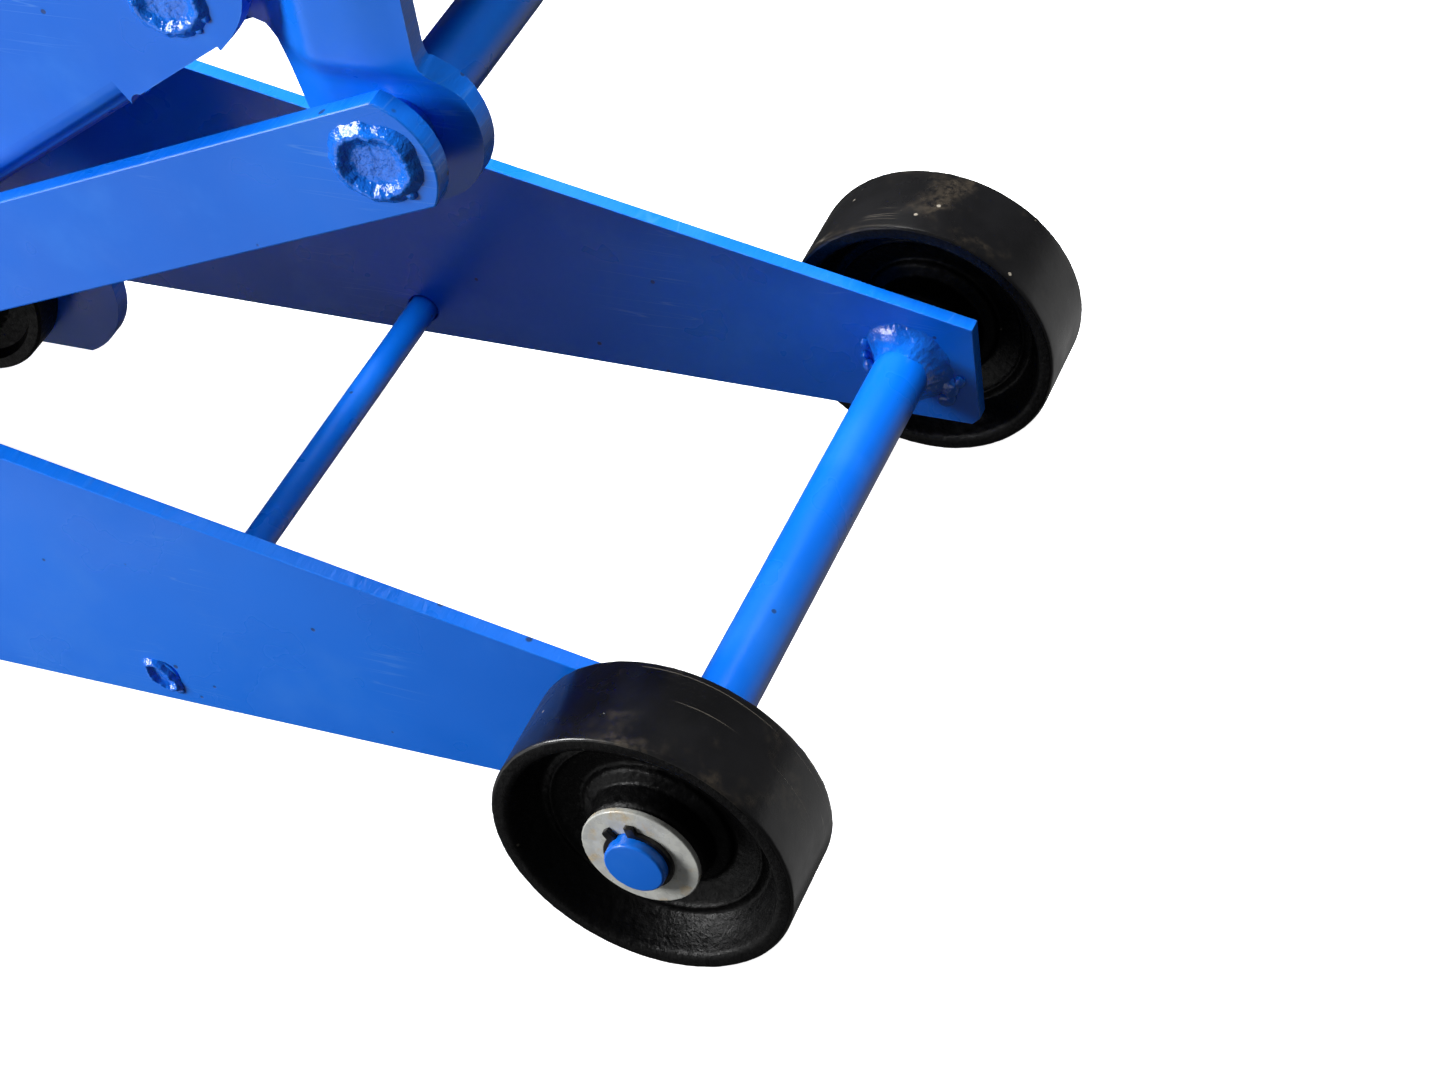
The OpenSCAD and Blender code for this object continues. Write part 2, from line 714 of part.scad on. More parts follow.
module saddle_circlip() color(STEEL) placed()
    translate([saddle_x, 0, bracket_top - 19]) linear_extrude(2) difference() {
        circle(saddle_stem_r + 4);
        circle(saddle_stem_r - 1);
        polygon([[0, 0], [40, 6], [40, -6]]);
    }

// ---- stop roller ----

// Cast spool on which the lowered arm's stop tube comes to rest
module stop_roller() color(BLACK) placed()
    translate([stop_x, -rail_in + 0.5, stop_z]) rotate([-90, 0, 0]) {
        w = 2 * rail_in - 1;
        f = 14;
        rotate_extrude() polygon([
            [stop_pin_r + run, 0], [stop_mid_r - 4, 0], [stop_mid_r - 2, 3], [stop_flange_r - 7, 4],
            [stop_flange_r - 5, 0], [stop_flange_r - 1, 0], [stop_flange_r, 1],
            [stop_flange_r, f - 1], [stop_flange_r - 1, f], [stop_flange_r - 5, f],
            [stop_flange_r - 7, f - 4], [stop_mid_r + 3, f - 3], [stop_mid_r, f],
            [stop_mid_r, w - f], [stop_mid_r + 3, w - f + 3], [stop_flange_r - 7, w - f + 4],
            [stop_flange_r - 5, w - f], [stop_flange_r - 1, w - f], [stop_flange_r, w - f + 1],
            [stop_flange_r, w - 1], [stop_flange_r - 1, w], [stop_flange_r - 5, w],
            [stop_flange_r - 7, w - 4], [stop_mid_r - 2, w - 3], [stop_mid_r - 4, w],
            [stop_pin_r + run, w]
        ]);
    }

// ---- power unit ----

module ram() color(STEEL) placed() {
    bar_x(ram_face_x - ram_head_t, ram_face_x, ram_z, 23);
    bar_x(-650, ram_face_x - ram_head_t, ram_z, ram_r);
    bar_x(-650, -625, ram_z, bore_r - run, ram_r);
}

module gland_nut() color(BLACK) placed() {
    bar_x(cyl_front_x, gland_x, ram_z, tank_r + 3, ram_r + run);
    bar_x(gland_x, gland_x + 2.5, ram_z, ram_r + 7, ram_r + 1);
}

module ram_cylinder() color(STEEL) placed()
    bar_x(block_front_x, cyl_front_x, ram_z, bore_r + 6, bore_r);

module oil_tank() color(BLUE) placed() difference() {
    union() {
        bar_x(block_front_x, cyl_front_x, ram_z, tank_r);
        translate([filler_x, 0, ram_z]) cylinder(r = 11, h = tank_r + filler_h);
    }
    bar_x(block_front_x - 1, cyl_front_x + 1, ram_z, tank_r - tank_t);
    translate([filler_x, 0, ram_z]) cylinder(r = filler_r, h = tank_r + filler_h + 1);
}

module filler_plug() color(BLACK) placed() translate([filler_x, 0, ram_z + tank_r + filler_h]) {
    hex_nut(17, 6, 0);
    translate([0, 0, -filler_h - 4]) cylinder(r = filler_r, h = filler_h + 4);
}

// Cast block: valves and pump below, two ears for the handle socket above
module pump_block() color(BLACK) placed() difference() {
    union() {
        translate([block_rear_x, -rail_in, block_z0])
            cube([block_front_x - block_rear_x, 2 * rail_in, block_top - block_z0]);
        both_sides() across(24, 34) taper_bar([socket_x, socket_z], 14, [socket_x, block_top], 16);
    }
    across(-36, 36) circle_at(socket_x, socket_z, socket_pin_r);
    translate([pump_x, 0, 70]) cylinder(r = pump_r + run, h = 60);
    translate([socket_x, 0, 90]) cylinder(r = 8 + run, h = 40);
    both_sides() for (p = bolt_spots()) bar_y(p.x, p.y, 6, rail_in - 14, rail_in + 1);
}

module socket_pins() color(ZINC) placed() both_sides() {
    bar_y(socket_x, socket_z, socket_pin_r, 12.5, 34);
    bar_y(socket_x, socket_z, socket_pin_r + 4, 34, 38);
}

// ---- handle and pump ----

module handle_frame() translate([socket_x, 0, socket_z])
    rotate([0, -(90 - handle_angle), 0]) children();

module handle_socket() color(BLUE) placed() {
    difference() {
        union() {
            both_sides() across(13, 21) difference() {
                union() {
                    taper_bar([socket_x, socket_z], 13, [pump_x, socket_z], 11);
                    taper_bar([socket_x, socket_z], 13,
                        [socket_x - 46 * cos(handle_angle), socket_z + 46 * sin(handle_angle)], 16);
                }
                circle_at(socket_x, socket_z, socket_pin_r + run);
                circle_at(pump_x, socket_z, 5);
            }
            handle_frame() translate([0, 0, socket_from])
                cylinder(r = handle_r + 5, h = socket_to - socket_from);
            handle_frame() translate([0, 0, socket_to - 22])
                cylinder(r = handle_r + 8, h = 22);
        }
        handle_frame() translate([0, 0, tube_from]) cylinder(r = handle_r + run, h = 200);
        handle_frame() translate([0, 0, socket_from - 20]) cylinder(r = 6 + run, h = 40);
    }
    bar_y(pump_x, socket_z, 5, -21, 21);
}

module pump_roller() color(STEEL) placed()
    bar_y(pump_x, socket_z, pump_roller_r, -12.5, 12.5, 5 + run);

module handle_lower_tube() color(BLUE) placed() {
    handle_frame() {
        translate([0, 0, tube_from + 4]) difference() {
            cylinder(r = handle_r, h = tube_split - tube_from - 4);
            translate([0, 0, 6]) cylinder(r = handle_r - 3, h = 500);
        }
        cylinder(r = 6, h = tube_from + 4);
    }
    translate([socket_x, 0, socket_z]) sphere(r = valve_ball_r);
}

module handle_upper_tube() color(BLUE) placed() handle_frame() {
    translate([0, 0, tube_split]) difference() {
        cylinder(r = handle_r, h = handle_len - tube_split - 3);
        translate([0, 0, -1]) cylinder(r = handle_r - 3, h = 500);
    }
    translate([0, 0, tube_split - 60]) difference() {
        cylinder(r = handle_r - 3, h = 120);
        translate([0, 0, -1]) cylinder(r = handle_r - 6, h = 122);
    }
}

// Closed rubber sleeve with shallow finger rings
module handle_grip() color(BLACK) placed() handle_frame()
    translate([0, 0, handle_len - grip_len]) difference() {
        cylinder(r = grip_r, h = grip_len);
        translate([0, 0, -1]) cylinder(r = handle_r, h = grip_len - 2);
        for (i = [1:6]) translate([0, 0, 14 * i]) rotate_extrude()
            translate([grip_r + 2, 0]) circle(3.5);
    }

// Spindle whose cup takes the ball end of the handle's drive rod
module release_valve() color(ZINC) placed() translate([socket_x, 0, 0]) difference() {
    union() {
        translate([0, 0, 92]) cylinder(r = 8, h = socket_z - 92 - 11);
        translate([0, 0, socket_z - 16]) cylinder(r = 12, h = 11.5);
    }
    translate([0, 0, socket_z]) sphere(r = valve_ball_r + loose);
}

module pump_piston() color(STEEL) placed() translate([pump_x, 0, 0]) {
    translate([0, 0, 95]) cylinder(r = pump_r, h = pump_top - 4 - 95);
    translate([0, 0, pump_top - 4]) cylinder(r = 12, h = 4);
}

// Coil round the pump piston, between the block and the piston's cap
spring_wire_r = 1.1;
spring_r = 10.6;
spring_turns = 5;
spring_steps = 16;
spring_z0 = block_top + spring_wire_r + 0.2;
spring_z1 = pump_top - 4 - spring_wire_r - 0.2;
spring_rings = spring_turns * spring_steps;

// The eight points of the wire's section at step i
function spring_ring(i) =
    let (a = 360 * i / spring_steps, z = spring_z0 + (spring_z1 - spring_z0) * i / spring_rings)
    [for (b = [0:45:315]) let (r = spring_r + spring_wire_r * cos(b))
        [r * cos(a), r * sin(a), z + spring_wire_r * sin(b)]];

module pump_spring() color(STEEL) placed() translate([pump_x, 0, 0]) polyhedron(
    [for (i = [0:spring_rings]) each spring_ring(i)],
    concat(
        [for (i = [0:spring_rings - 1], k = [0:7]) [
            8 * i + k, 8 * (i + 1) + k, 8 * (i + 1) + (k + 1) % 8, 8 * i + (k + 1) % 8]],
        [[for (k = [0:7]) k], [for (k = [7:-1:0]) 8 * spring_rings + k]]
    ));

// ---- casters ----

// Swivelling fork with its kingpin, nut and wheel axle
module caster_fork(s) color(ZINC) placed() side(s) translate([caster_x, caster_y, 0]) {
    translate([0, 0, fork_top]) cylinder(r = 25, h = fork_t);
    translate([0, 0, fork_top + fork_t]) cylinder(r = 20, h = shelf_z - fork_top - fork_t - 0.3);
    translate([0, 0, shelf_z - 1]) cylinder(r = kingpin_r, h = shelf_t + 10);
    translate([0, 0, shelf_z + shelf_t + 0.3]) hex_nut(19, 7, kingpin_r);
    both_sides() across(14, 17.5) difference() {
        union() {
            polygon([[-23, fork_top + 1], [23, fork_top + 1], [23, fork_top - 6],
                [-caster_trail + 9, caster_r - 3], [-caster_trail - 9, caster_r - 3],
                [-26, fork_top - 10]]);
            circle_at(-caster_trail, caster_r, 10);
        }
    }
    bar_y(-caster_trail, caster_r, 5, -20.5, 20.5);
    both_sides() bar_y(-caster_trail, caster_r, 8, 17.5, 22.5);
}
module caster_fork_left() caster_fork(1);
module caster_fork_right() caster_fork(-1);

module caster_wheel(s) color(BLACK) placed() side(s) difference() {
    translate([caster_x - caster_trail, caster_y - caster_w / 2, caster_r]) rotate([-90, 0, 0])
        rotate_extrude() polygon([
            [5 + run, 0], [11, 0], [12, 3], [caster_r - 7, 4], [caster_r - 5, 1],
            [caster_r - 2, 1], [caster_r, 3], [caster_r, caster_w - 3],
            [caster_r - 2, caster_w - 1], [caster_r - 5, caster_w - 1],
            [caster_r - 7, caster_w - 4], [12, caster_w - 3], [11, caster_w],
            [5 + run, caster_w]
        ]);
}
module caster_wheel_left() caster_wheel(1);
module caster_wheel_right() caster_wheel(-1);

side_plate_left();
side_plate_right();
front_axle();
axle_weld_beads();
tie_rod();
tie_rod_welds();
main_pivot_shaft();
main_pivot_spacers();
main_pivot_nuts();
cradle_rail_left();
cradle_rail_right();
cradle_cross_bar();
rear_cross_plate();
cradle_bolts();
stop_roller_pin();
caster_bracket_left();
caster_bracket_right();
pump_block();
socket_pins();
oil_tank();
ram_cylinder();
gland_nut();
filler_plug();
wheel_inner_spacers();
wheel_washers();
wheel_circlips();
front_wheel_left();
front_wheel_right();
stop_roller();
lift_arm();
arm_hub_tube();
tail_levers();
tail_roller_pin();
arm_stop_tube();
arm_pin();
arm_pin_welds();
tail_roller();
radius_link_left();
radius_link_right();
link_cross_shaft();
link_welds();
link_pivot_pins();
link_pin_circlips();
saddle_bracket();
bracket_spacers();
saddle();
saddle_circlip();
ram();
caster_fork_left();
caster_fork_right();
caster_wheel_left();
caster_wheel_right();
handle_socket();
pump_roller();
handle_lower_tube();
handle_upper_tube();
handle_grip();
release_valve();
pump_piston();
pump_spring();
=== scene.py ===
import json
import math

import bmesh
import bpy
from mathutils import Matrix, Vector, geometry, noise

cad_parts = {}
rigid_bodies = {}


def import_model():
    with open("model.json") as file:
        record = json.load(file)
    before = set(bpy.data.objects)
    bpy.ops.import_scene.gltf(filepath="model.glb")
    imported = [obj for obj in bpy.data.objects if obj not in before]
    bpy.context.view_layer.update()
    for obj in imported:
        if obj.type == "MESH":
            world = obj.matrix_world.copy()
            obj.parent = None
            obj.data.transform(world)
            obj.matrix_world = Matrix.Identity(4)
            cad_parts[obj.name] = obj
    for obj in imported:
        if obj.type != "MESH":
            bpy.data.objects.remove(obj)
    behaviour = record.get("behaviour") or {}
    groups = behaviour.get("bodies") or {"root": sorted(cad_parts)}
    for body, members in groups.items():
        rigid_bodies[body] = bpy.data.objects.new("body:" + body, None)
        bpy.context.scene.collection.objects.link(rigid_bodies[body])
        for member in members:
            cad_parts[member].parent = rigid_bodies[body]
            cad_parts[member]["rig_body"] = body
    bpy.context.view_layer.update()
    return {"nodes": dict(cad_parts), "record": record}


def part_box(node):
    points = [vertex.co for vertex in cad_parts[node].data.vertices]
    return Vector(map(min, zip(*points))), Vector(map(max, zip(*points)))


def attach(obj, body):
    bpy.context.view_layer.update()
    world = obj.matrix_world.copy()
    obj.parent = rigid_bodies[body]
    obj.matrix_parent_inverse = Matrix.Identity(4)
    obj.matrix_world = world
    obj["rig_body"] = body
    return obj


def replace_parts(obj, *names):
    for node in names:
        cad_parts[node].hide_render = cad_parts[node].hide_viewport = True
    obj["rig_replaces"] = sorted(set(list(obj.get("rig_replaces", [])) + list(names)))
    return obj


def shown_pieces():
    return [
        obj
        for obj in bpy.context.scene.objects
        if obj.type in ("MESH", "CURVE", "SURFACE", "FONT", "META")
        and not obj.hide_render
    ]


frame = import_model()

MM = 0.001
NODES = frame["nodes"]
NODE_BODY = {node: NODES[node]["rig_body"] for node in NODES}
NODE_SLOT = {part["node"]: part["material_slot"] for part in frame["record"]["subparts"]}


# ---- places from the frame ----


def low(node):
    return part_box(node)[0] / MM


def high(node):
    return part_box(node)[1] / MM


def centre(node):
    return (low(node) + high(node)) / 2


AXLE = centre("front_axle")
ARM_PIN = centre("arm_pin")
LINK_PIN = centre("link_cross_shaft")
TIE_ROD = centre("tie_rod")
AXLE_R = (high("front_axle").z - low("front_axle").z) / 2
BORE_R = AXLE_R + 0.05


def inner_y(node):
    """How far from the jack's middle plane a node on both sides begins."""
    return min(abs(v.co.y) for v in NODES[node].data.vertices) / MM


# ---- meshes ----

WIDE_FACE = 900  # mm2; flat faces over this keep their own plain shading


def smooth(t):
    t = min(1.0, max(0.0, t))
    return t * t * (3 - 2 * t)


def wobble(a, b=0.0, c=0.0, seed=0.0):
    """Smooth noise from -1 to 1 at a point given in the noise's own units."""
    return noise.noise(Vector((a + seed, b - 2 * seed, c + 3 * seed)))


def new_piece(name, bm, body, materials):
    """A mesh object in the row frame, from a bmesh in millimetres, that rides on a CAD body."""
    bmesh.ops.scale(bm, vec=(MM, MM, MM), verts=bm.verts)
    mesh = bpy.data.meshes.new(name)
    for face in bm.faces:
        face.smooth = True
    bm.to_mesh(mesh)
    bm.free()
    for material in materials:
        mesh.materials.append(material)
    piece = bpy.data.objects.new(name, mesh)
    bpy.context.scene.collection.objects.link(piece)
    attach(piece, body)
    return piece


def weighted_normals(piece):
    modifier = piece.modifiers.new("normals", "WEIGHTED_NORMAL")
    modifier.keep_sharp = True
    modifier.weight = 60


def broken_edges(piece, width, angle):
    """Rounds the piece's edges that are sharper than the angle, at render time."""
    modifier = piece.modifiers.new("edges", "BEVEL")
    modifier.width = width * MM
    modifier.segments = 2
    modifier.limit_method = "ANGLE"
    modifier.angle_limit = math.radians(angle)


def carried(node, materials, bevel):
    """The CAD node's shape with its sharp edges broken, as a piece that stands for it."""
    source = NODES[node].data
    mesh = bpy.data.meshes.new(node)
    corners = [v.co / MM for v in source.vertices]
    mesh.from_pydata(corners, [], [p.vertices for p in source.polygons])
    bm = bmesh.new()
    bm.from_mesh(mesh)
    bpy.data.meshes.remove(mesh)
    bmesh.ops.remove_doubles(bm, verts=bm.verts, dist=0.002)
    bmesh.ops.dissolve_degenerate(bm, dist=0.002, edges=bm.edges)
    bmesh.ops.dissolve_limit(bm, angle_limit=math.radians(0.6), verts=bm.verts, edges=bm.edges)
    bmesh.ops.recalc_face_normals(bm, faces=bm.faces)
    wide = [face.calc_area() > WIDE_FACE for face in bm.faces]
    piece = new_piece(node + "_look", bm, NODE_BODY[node], materials)
    for face, is_wide in zip(piece.data.polygons, wide):
        face.use_smooth = not is_wide
    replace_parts(piece, node)
    if bevel > 0:
        broken_edges(piece, bevel, 38)
    weighted_normals(piece)


def rounded(corners, steps=4):
    """A closed section of (radius, height, fillet) corners, each corner turned into an arc."""
    points = []
    for i, (r, y, fillet) in enumerate(corners):
        here = Vector((r, y))
        before = Vector(corners[i - 1][:2]) - here
        after = Vector(corners[(i + 1) % len(corners)][:2]) - here
        reach = min(fillet, before.length * 0.48, after.length * 0.48)
        if reach < 0.02:
            points.append(here)
            continue
        start = here + before.normalized() * reach
        end = here + after.normalized() * reach
        for k in range(steps + 1):
            t = k / steps
            points.append(start * (1 - t) ** 2 + here * (2 * t * (1 - t)) + end * t * t)
    return points


def resampled(points, longest):
    """The closed section with every side split so that none is longer than the given length."""
    out = []
    for i, a in enumerate(points):
        b = points[(i + 1) % len(points)]
        parts = max(1, math.ceil((b - a).length / longest))
        out += [a.lerp(b, k / parts) for k in range(parts)]
    return out


def turned(section, middle, axis, spokes=144, relief=None, face_material=None):
    """A section of (radius, height) points turned round an axis through middle."""
    axis = Vector(axis).normalized()
    side = axis.orthogonal().normalized()
    other = axis.cross(side)
    bm = bmesh.new()
    rings = []
    for k in range(spokes):
        a = 2 * math.pi * k / spokes
        ring = []
        for r, y in section:
            if relief:
                dr, dy = relief(a, r, y)
                r, y = r + dr, y + dy
            ring.append(bm.verts.new(
                Vector(middle) + (side * math.cos(a) + other * math.sin(a)) * r + axis * y))
        rings.append(ring)
    count = len(section)
    for k in range(spokes):
        near, far = rings[k], rings[(k + 1) % spokes]
        for i in range(count):
            j = (i + 1) % count
            if section[i][0] < 1e-6 and section[j][0] < 1e-6:
                continue
            corners = [near[i], near[j], far[j], far[i]]
            if section[i][0] < 1e-6:
                corners = [near[i], near[j], far[j]]
            if section[j][0] < 1e-6:
                corners = [near[i], near[j], far[i]]
            face = bm.faces.new(corners)
            if face_material:
                mid = (Vector(section[i]) + Vector(section[j])) / 2
                face.material_index = face_material(mid)
    bmesh.ops.remove_doubles(bm, verts=bm.verts, dist=1e-4)
    loose = [v for v in bm.verts if not v.link_faces]
    bmesh.ops.delete(bm, geom=loose, context="VERTS")
    bmesh.ops.recalc_face_normals(bm, faces=bm.faces)
    return bm


def heap(bm, middle, out, radius, height, seed, crest=0.72, hollow=0.5, sunk=0.6, lumps=0.35,
         squash=1.0, turn=0.0):
    """A lumpy heap of weld metal on a face that looks along out: a ring crest round a hollow."""
    out = Vector(out).normalized()
    side = Vector((1, 0, 0))
    side = (side - out * side.dot(out)).normalized()
    other = out.cross(side)
    rings, spokes = 22, 96
    ct, st = math.cos(turn), math.sin(turn)
    grid = []
    for i in range(rings + 1):
        t = i / rings
        row = []
        for k in range(spokes):
            a = 2 * math.pi * k / spokes
            c, s = math.cos(a), math.sin(a)
            edge = 1 + 0.10 * wobble(1.3 * c, 1.3 * s, seed=seed) \
                + 0.06 * wobble(4 * c, 4 * s, seed=seed)
            ring = math.exp(-((t - crest) / 0.17) ** 2)
            beads = 1 + lumps * wobble(2.2 * c, 2.2 * s, t, seed + 5) \
                + 0.5 * lumps * wobble(6 * c, 6 * s, 3 * t, seed + 9)
            middle_fill = (1 - hollow) * smooth((crest - t) / 0.3)
            fine = 0.05 * wobble(9 * t * c, 9 * t * s, seed=seed + 2)
            h = height * (ring * beads + middle_fill + fine) - sunk * smooth((t - 0.9) / 0.1)
            u, v = radius * t * edge * c, radius * t * edge * s * squash
            u, v = u * ct - v * st, u * st + v * ct
            row.append(bm.verts.new(Vector(middle) + side * u + other * v + out * h))
        grid.append(row)
    for i in range(rings):
        for k in range(spokes):
            j = (k + 1) % spokes
            bm.faces.new((grid[i][k], grid[i + 1][k], grid[i + 1][j], grid[i][j]))
    bmesh.ops.remove_doubles(bm, verts=grid[0], dist=1e-4)


def blob(bm, middle, sizes, seed, turn=0.0):
    """A drop of weld spatter: a small uneven ellipsoid half sunk in the face behind it."""
    made = bmesh.ops.create_icosphere(bm, subdivisions=3, radius=1.0)["verts"]
    for v in made:
        bump = 1 + 0.22 * wobble(*(v.co * 1.4), seed=seed)
        p = Vector((v.co.x * sizes[0], v.co.y * sizes[1], v.co.z * sizes[2])) * bump
        v.co = Matrix.Rotation(turn, 3, "Y") @ p + Vector(middle)


def inside(point, outline):
    hit = False
    for i, a in enumerate(outline):
        b = outline[i - 1]
        if (a.y > point.y) != (b.y > point.y):
            if point.x < (b.x - a.x) * (point.y - a.y) / (b.y - a.y) + a.x:
                hit = not hit
    return hit


def arc_points(cx, cy, r, a0, a1, steps):
    return [Vector((cx + r * math.cos(math.radians(a0 + (a1 - a0) * k / steps)),
                    cy + r * math.sin(math.radians(a0 + (a1 - a0) * k / steps))))
            for k in range(steps + 1)]


def flat_blank(outline, pitch):
    """Triangles that fill an outline, with a grid of points inside: (points, triangles)."""
    edge = resampled(outline, pitch)
    lo = Vector((min(p.x for p in edge), min(p.y for p in edge)))
    hi = Vector((max(p.x for p in edge), max(p.y for p in edge)))
    points = list(edge)
    row = 0
    y = lo.y + pitch / 2
    while y < hi.y:
        x = lo.x + pitch * (0.5 if row % 2 else 1.0)
        while x < hi.x:
            p = Vector((x, y))
            if inside(p, edge) and min((p - q).length for q in edge) > pitch * 0.45:
                points.append(p)
            x += pitch
        y += pitch * 0.87
        row += 1
    sides = [(i, (i + 1) % len(edge)) for i in range(len(edge))]
    made = geometry.delaunay_2d_cdt(points, sides, [], 1, 1e-6)
    return made[0], made[2]


# ---- materials ----


class Finish:
    """The node tree of one material, with short calls for the nodes that the finishes share."""

    def __init__(self, name):
        self.material = bpy.data.materials.new(name)
        self.material.use_nodes = True
        self.tree = self.material.node_tree
        self.tree.nodes.clear()
        self.shader = self.tree.nodes.new("ShaderNodeBsdfPrincipled")
        output = self.tree.nodes.new("ShaderNodeOutputMaterial")
        self.tree.links.new(self.shader.outputs[0], output.inputs[0])
        self.place = self.node("ShaderNodeTexCoord").outputs["Object"]
        self.relief = None

    def node(self, kind, inputs=None, **settings):
        made = self.tree.nodes.new(kind)
        for key, value in settings.items():
            setattr(made, key, value)
        for key, value in (inputs or {}).items():
            if isinstance(value, bpy.types.NodeSocket):
                self.tree.links.new(value, made.inputs[key])
            else:
                made.inputs[key].default_value = value
        return made

    def moved(self, stretch, offset=0.0):
        return self.node("ShaderNodeMapping", {
            "Vector": self.place, "Scale": stretch, "Location": (offset, offset, offset),
        }).outputs[0]

    def noise(self, scale, detail=2.0, rough=0.5, stretch=(1, 1, 1), offset=0.0):
        return self.node("ShaderNodeTexNoise", {
            "Vector": self.moved(stretch, offset), "Scale": scale, "Detail": detail,
            "Roughness": rough,
        }).outputs[0]

    def step(self, value, start, end, low=0.0, high=1.0):
        """Low below start, high above end, smooth between; start may be the larger one."""
        return self.node("ShaderNodeMapRange", {
            "Value": value, "From Min": start, "From Max": end, "To Min": low, "To Max": high,
        }, interpolation_type="SMOOTHSTEP").outputs[0]

    def calc(self, operation, a, b=0.0):
        return self.node("ShaderNodeMath", {0: a, 1: b}, operation=operation).outputs[0]

    def mix(self, share, a, b):
        made = self.node("ShaderNodeMix", data_type="RGBA")
        for index, value in ((0, share), (6, a), (7, b)):
            if isinstance(value, bpy.types.NodeSocket):
                self.tree.links.new(value, made.inputs[index])
            elif index:
                made.inputs[index].default_value = (*value, 1)
            else:
                made.inputs[index].default_value = value
        return made.outputs[2]

    def specks(self, scale, size, share, offset=0.0):
        """Small round marks: the middles of some cells."""
        cells = self.node("ShaderNodeTexVoronoi", {
            "Vector": self.moved((1, 1, 1), offset), "Scale": scale})
        pick = self.node("ShaderNodeSeparateColor", {0: cells.outputs["Color"]}).outputs[0]
        dot = self.step(cells.outputs["Distance"], size, size * 0.6)
        return self.calc("MULTIPLY", dot, self.calc("GREATER_THAN", pick, 1 - share))

    def scratches(self, stretch, width, where, offset=0.0):
        """Thin lines where a stretched noise crosses its middle value."""
        n = self.noise(1.0, 1.0, 0.5, stretch, offset)
        line = self.step(self.calc("ABSOLUTE", self.calc("SUBTRACT", n, 0.5)), width, 0.0)
        return self.calc("MULTIPLY", line, where)

    def edges(self, radius, start=0.02, end=0.25):
        """1 on sharp edges and 0 on flat faces."""
        rounded_normal = self.node("ShaderNodeBevel", {"Radius": radius * MM}, samples=4).outputs[0]
        true_normal = self.node("ShaderNodeNewGeometry").outputs["Normal"]
        along = self.node("ShaderNodeVectorMath", {0: rounded_normal, 1: true_normal},
                          operation="DOT_PRODUCT").outputs["Value"]
        return self.step(self.calc("SUBTRACT", 1.0, along), start, end)

    def facing(self, axis):
        """How far the surface faces along an axis of the row frame, either way."""
        normal = self.node("ShaderNodeNewGeometry").outputs["Normal"]
        parts = self.node("ShaderNodeSeparateXYZ", {0: normal})
        return self.calc("ABSOLUTE", parts.outputs[axis])

    def bump(self, height, depth):
        inputs = {"Height": height, "Distance": depth * MM, "Strength": 1.0}
        if self.relief is not None:
            inputs["Normal"] = self.relief
        self.relief = self.node("ShaderNodeBump", inputs).outputs[0]

    def finish(self, colour, roughness, **constants):
        surface = {"Base Color": colour, "Roughness": roughness, "Normal": self.relief}
        for key, value in surface.items():
            if isinstance(value, bpy.types.NodeSocket):
                self.tree.links.new(value, self.shader.inputs[key])
            elif value is not None:
                self.shader.inputs[key].default_value = value
        for key, value in constants.items():
            self.shader.inputs[key.replace("_", " ")].default_value = value
        return self.material


BLUE_DEEP = (0.001, 0.150, 0.78)
BLUE_FULL = (0.003, 0.180, 0.88)
BLUE_DUSTY = (0.025, 0.220, 0.88)
BLUE_WORN = (0.13, 0.38, 0.93)
BLUE_SHADED = (0.0, 0.012, 0.085)
GRIME = (0.020, 0.022, 0.030)


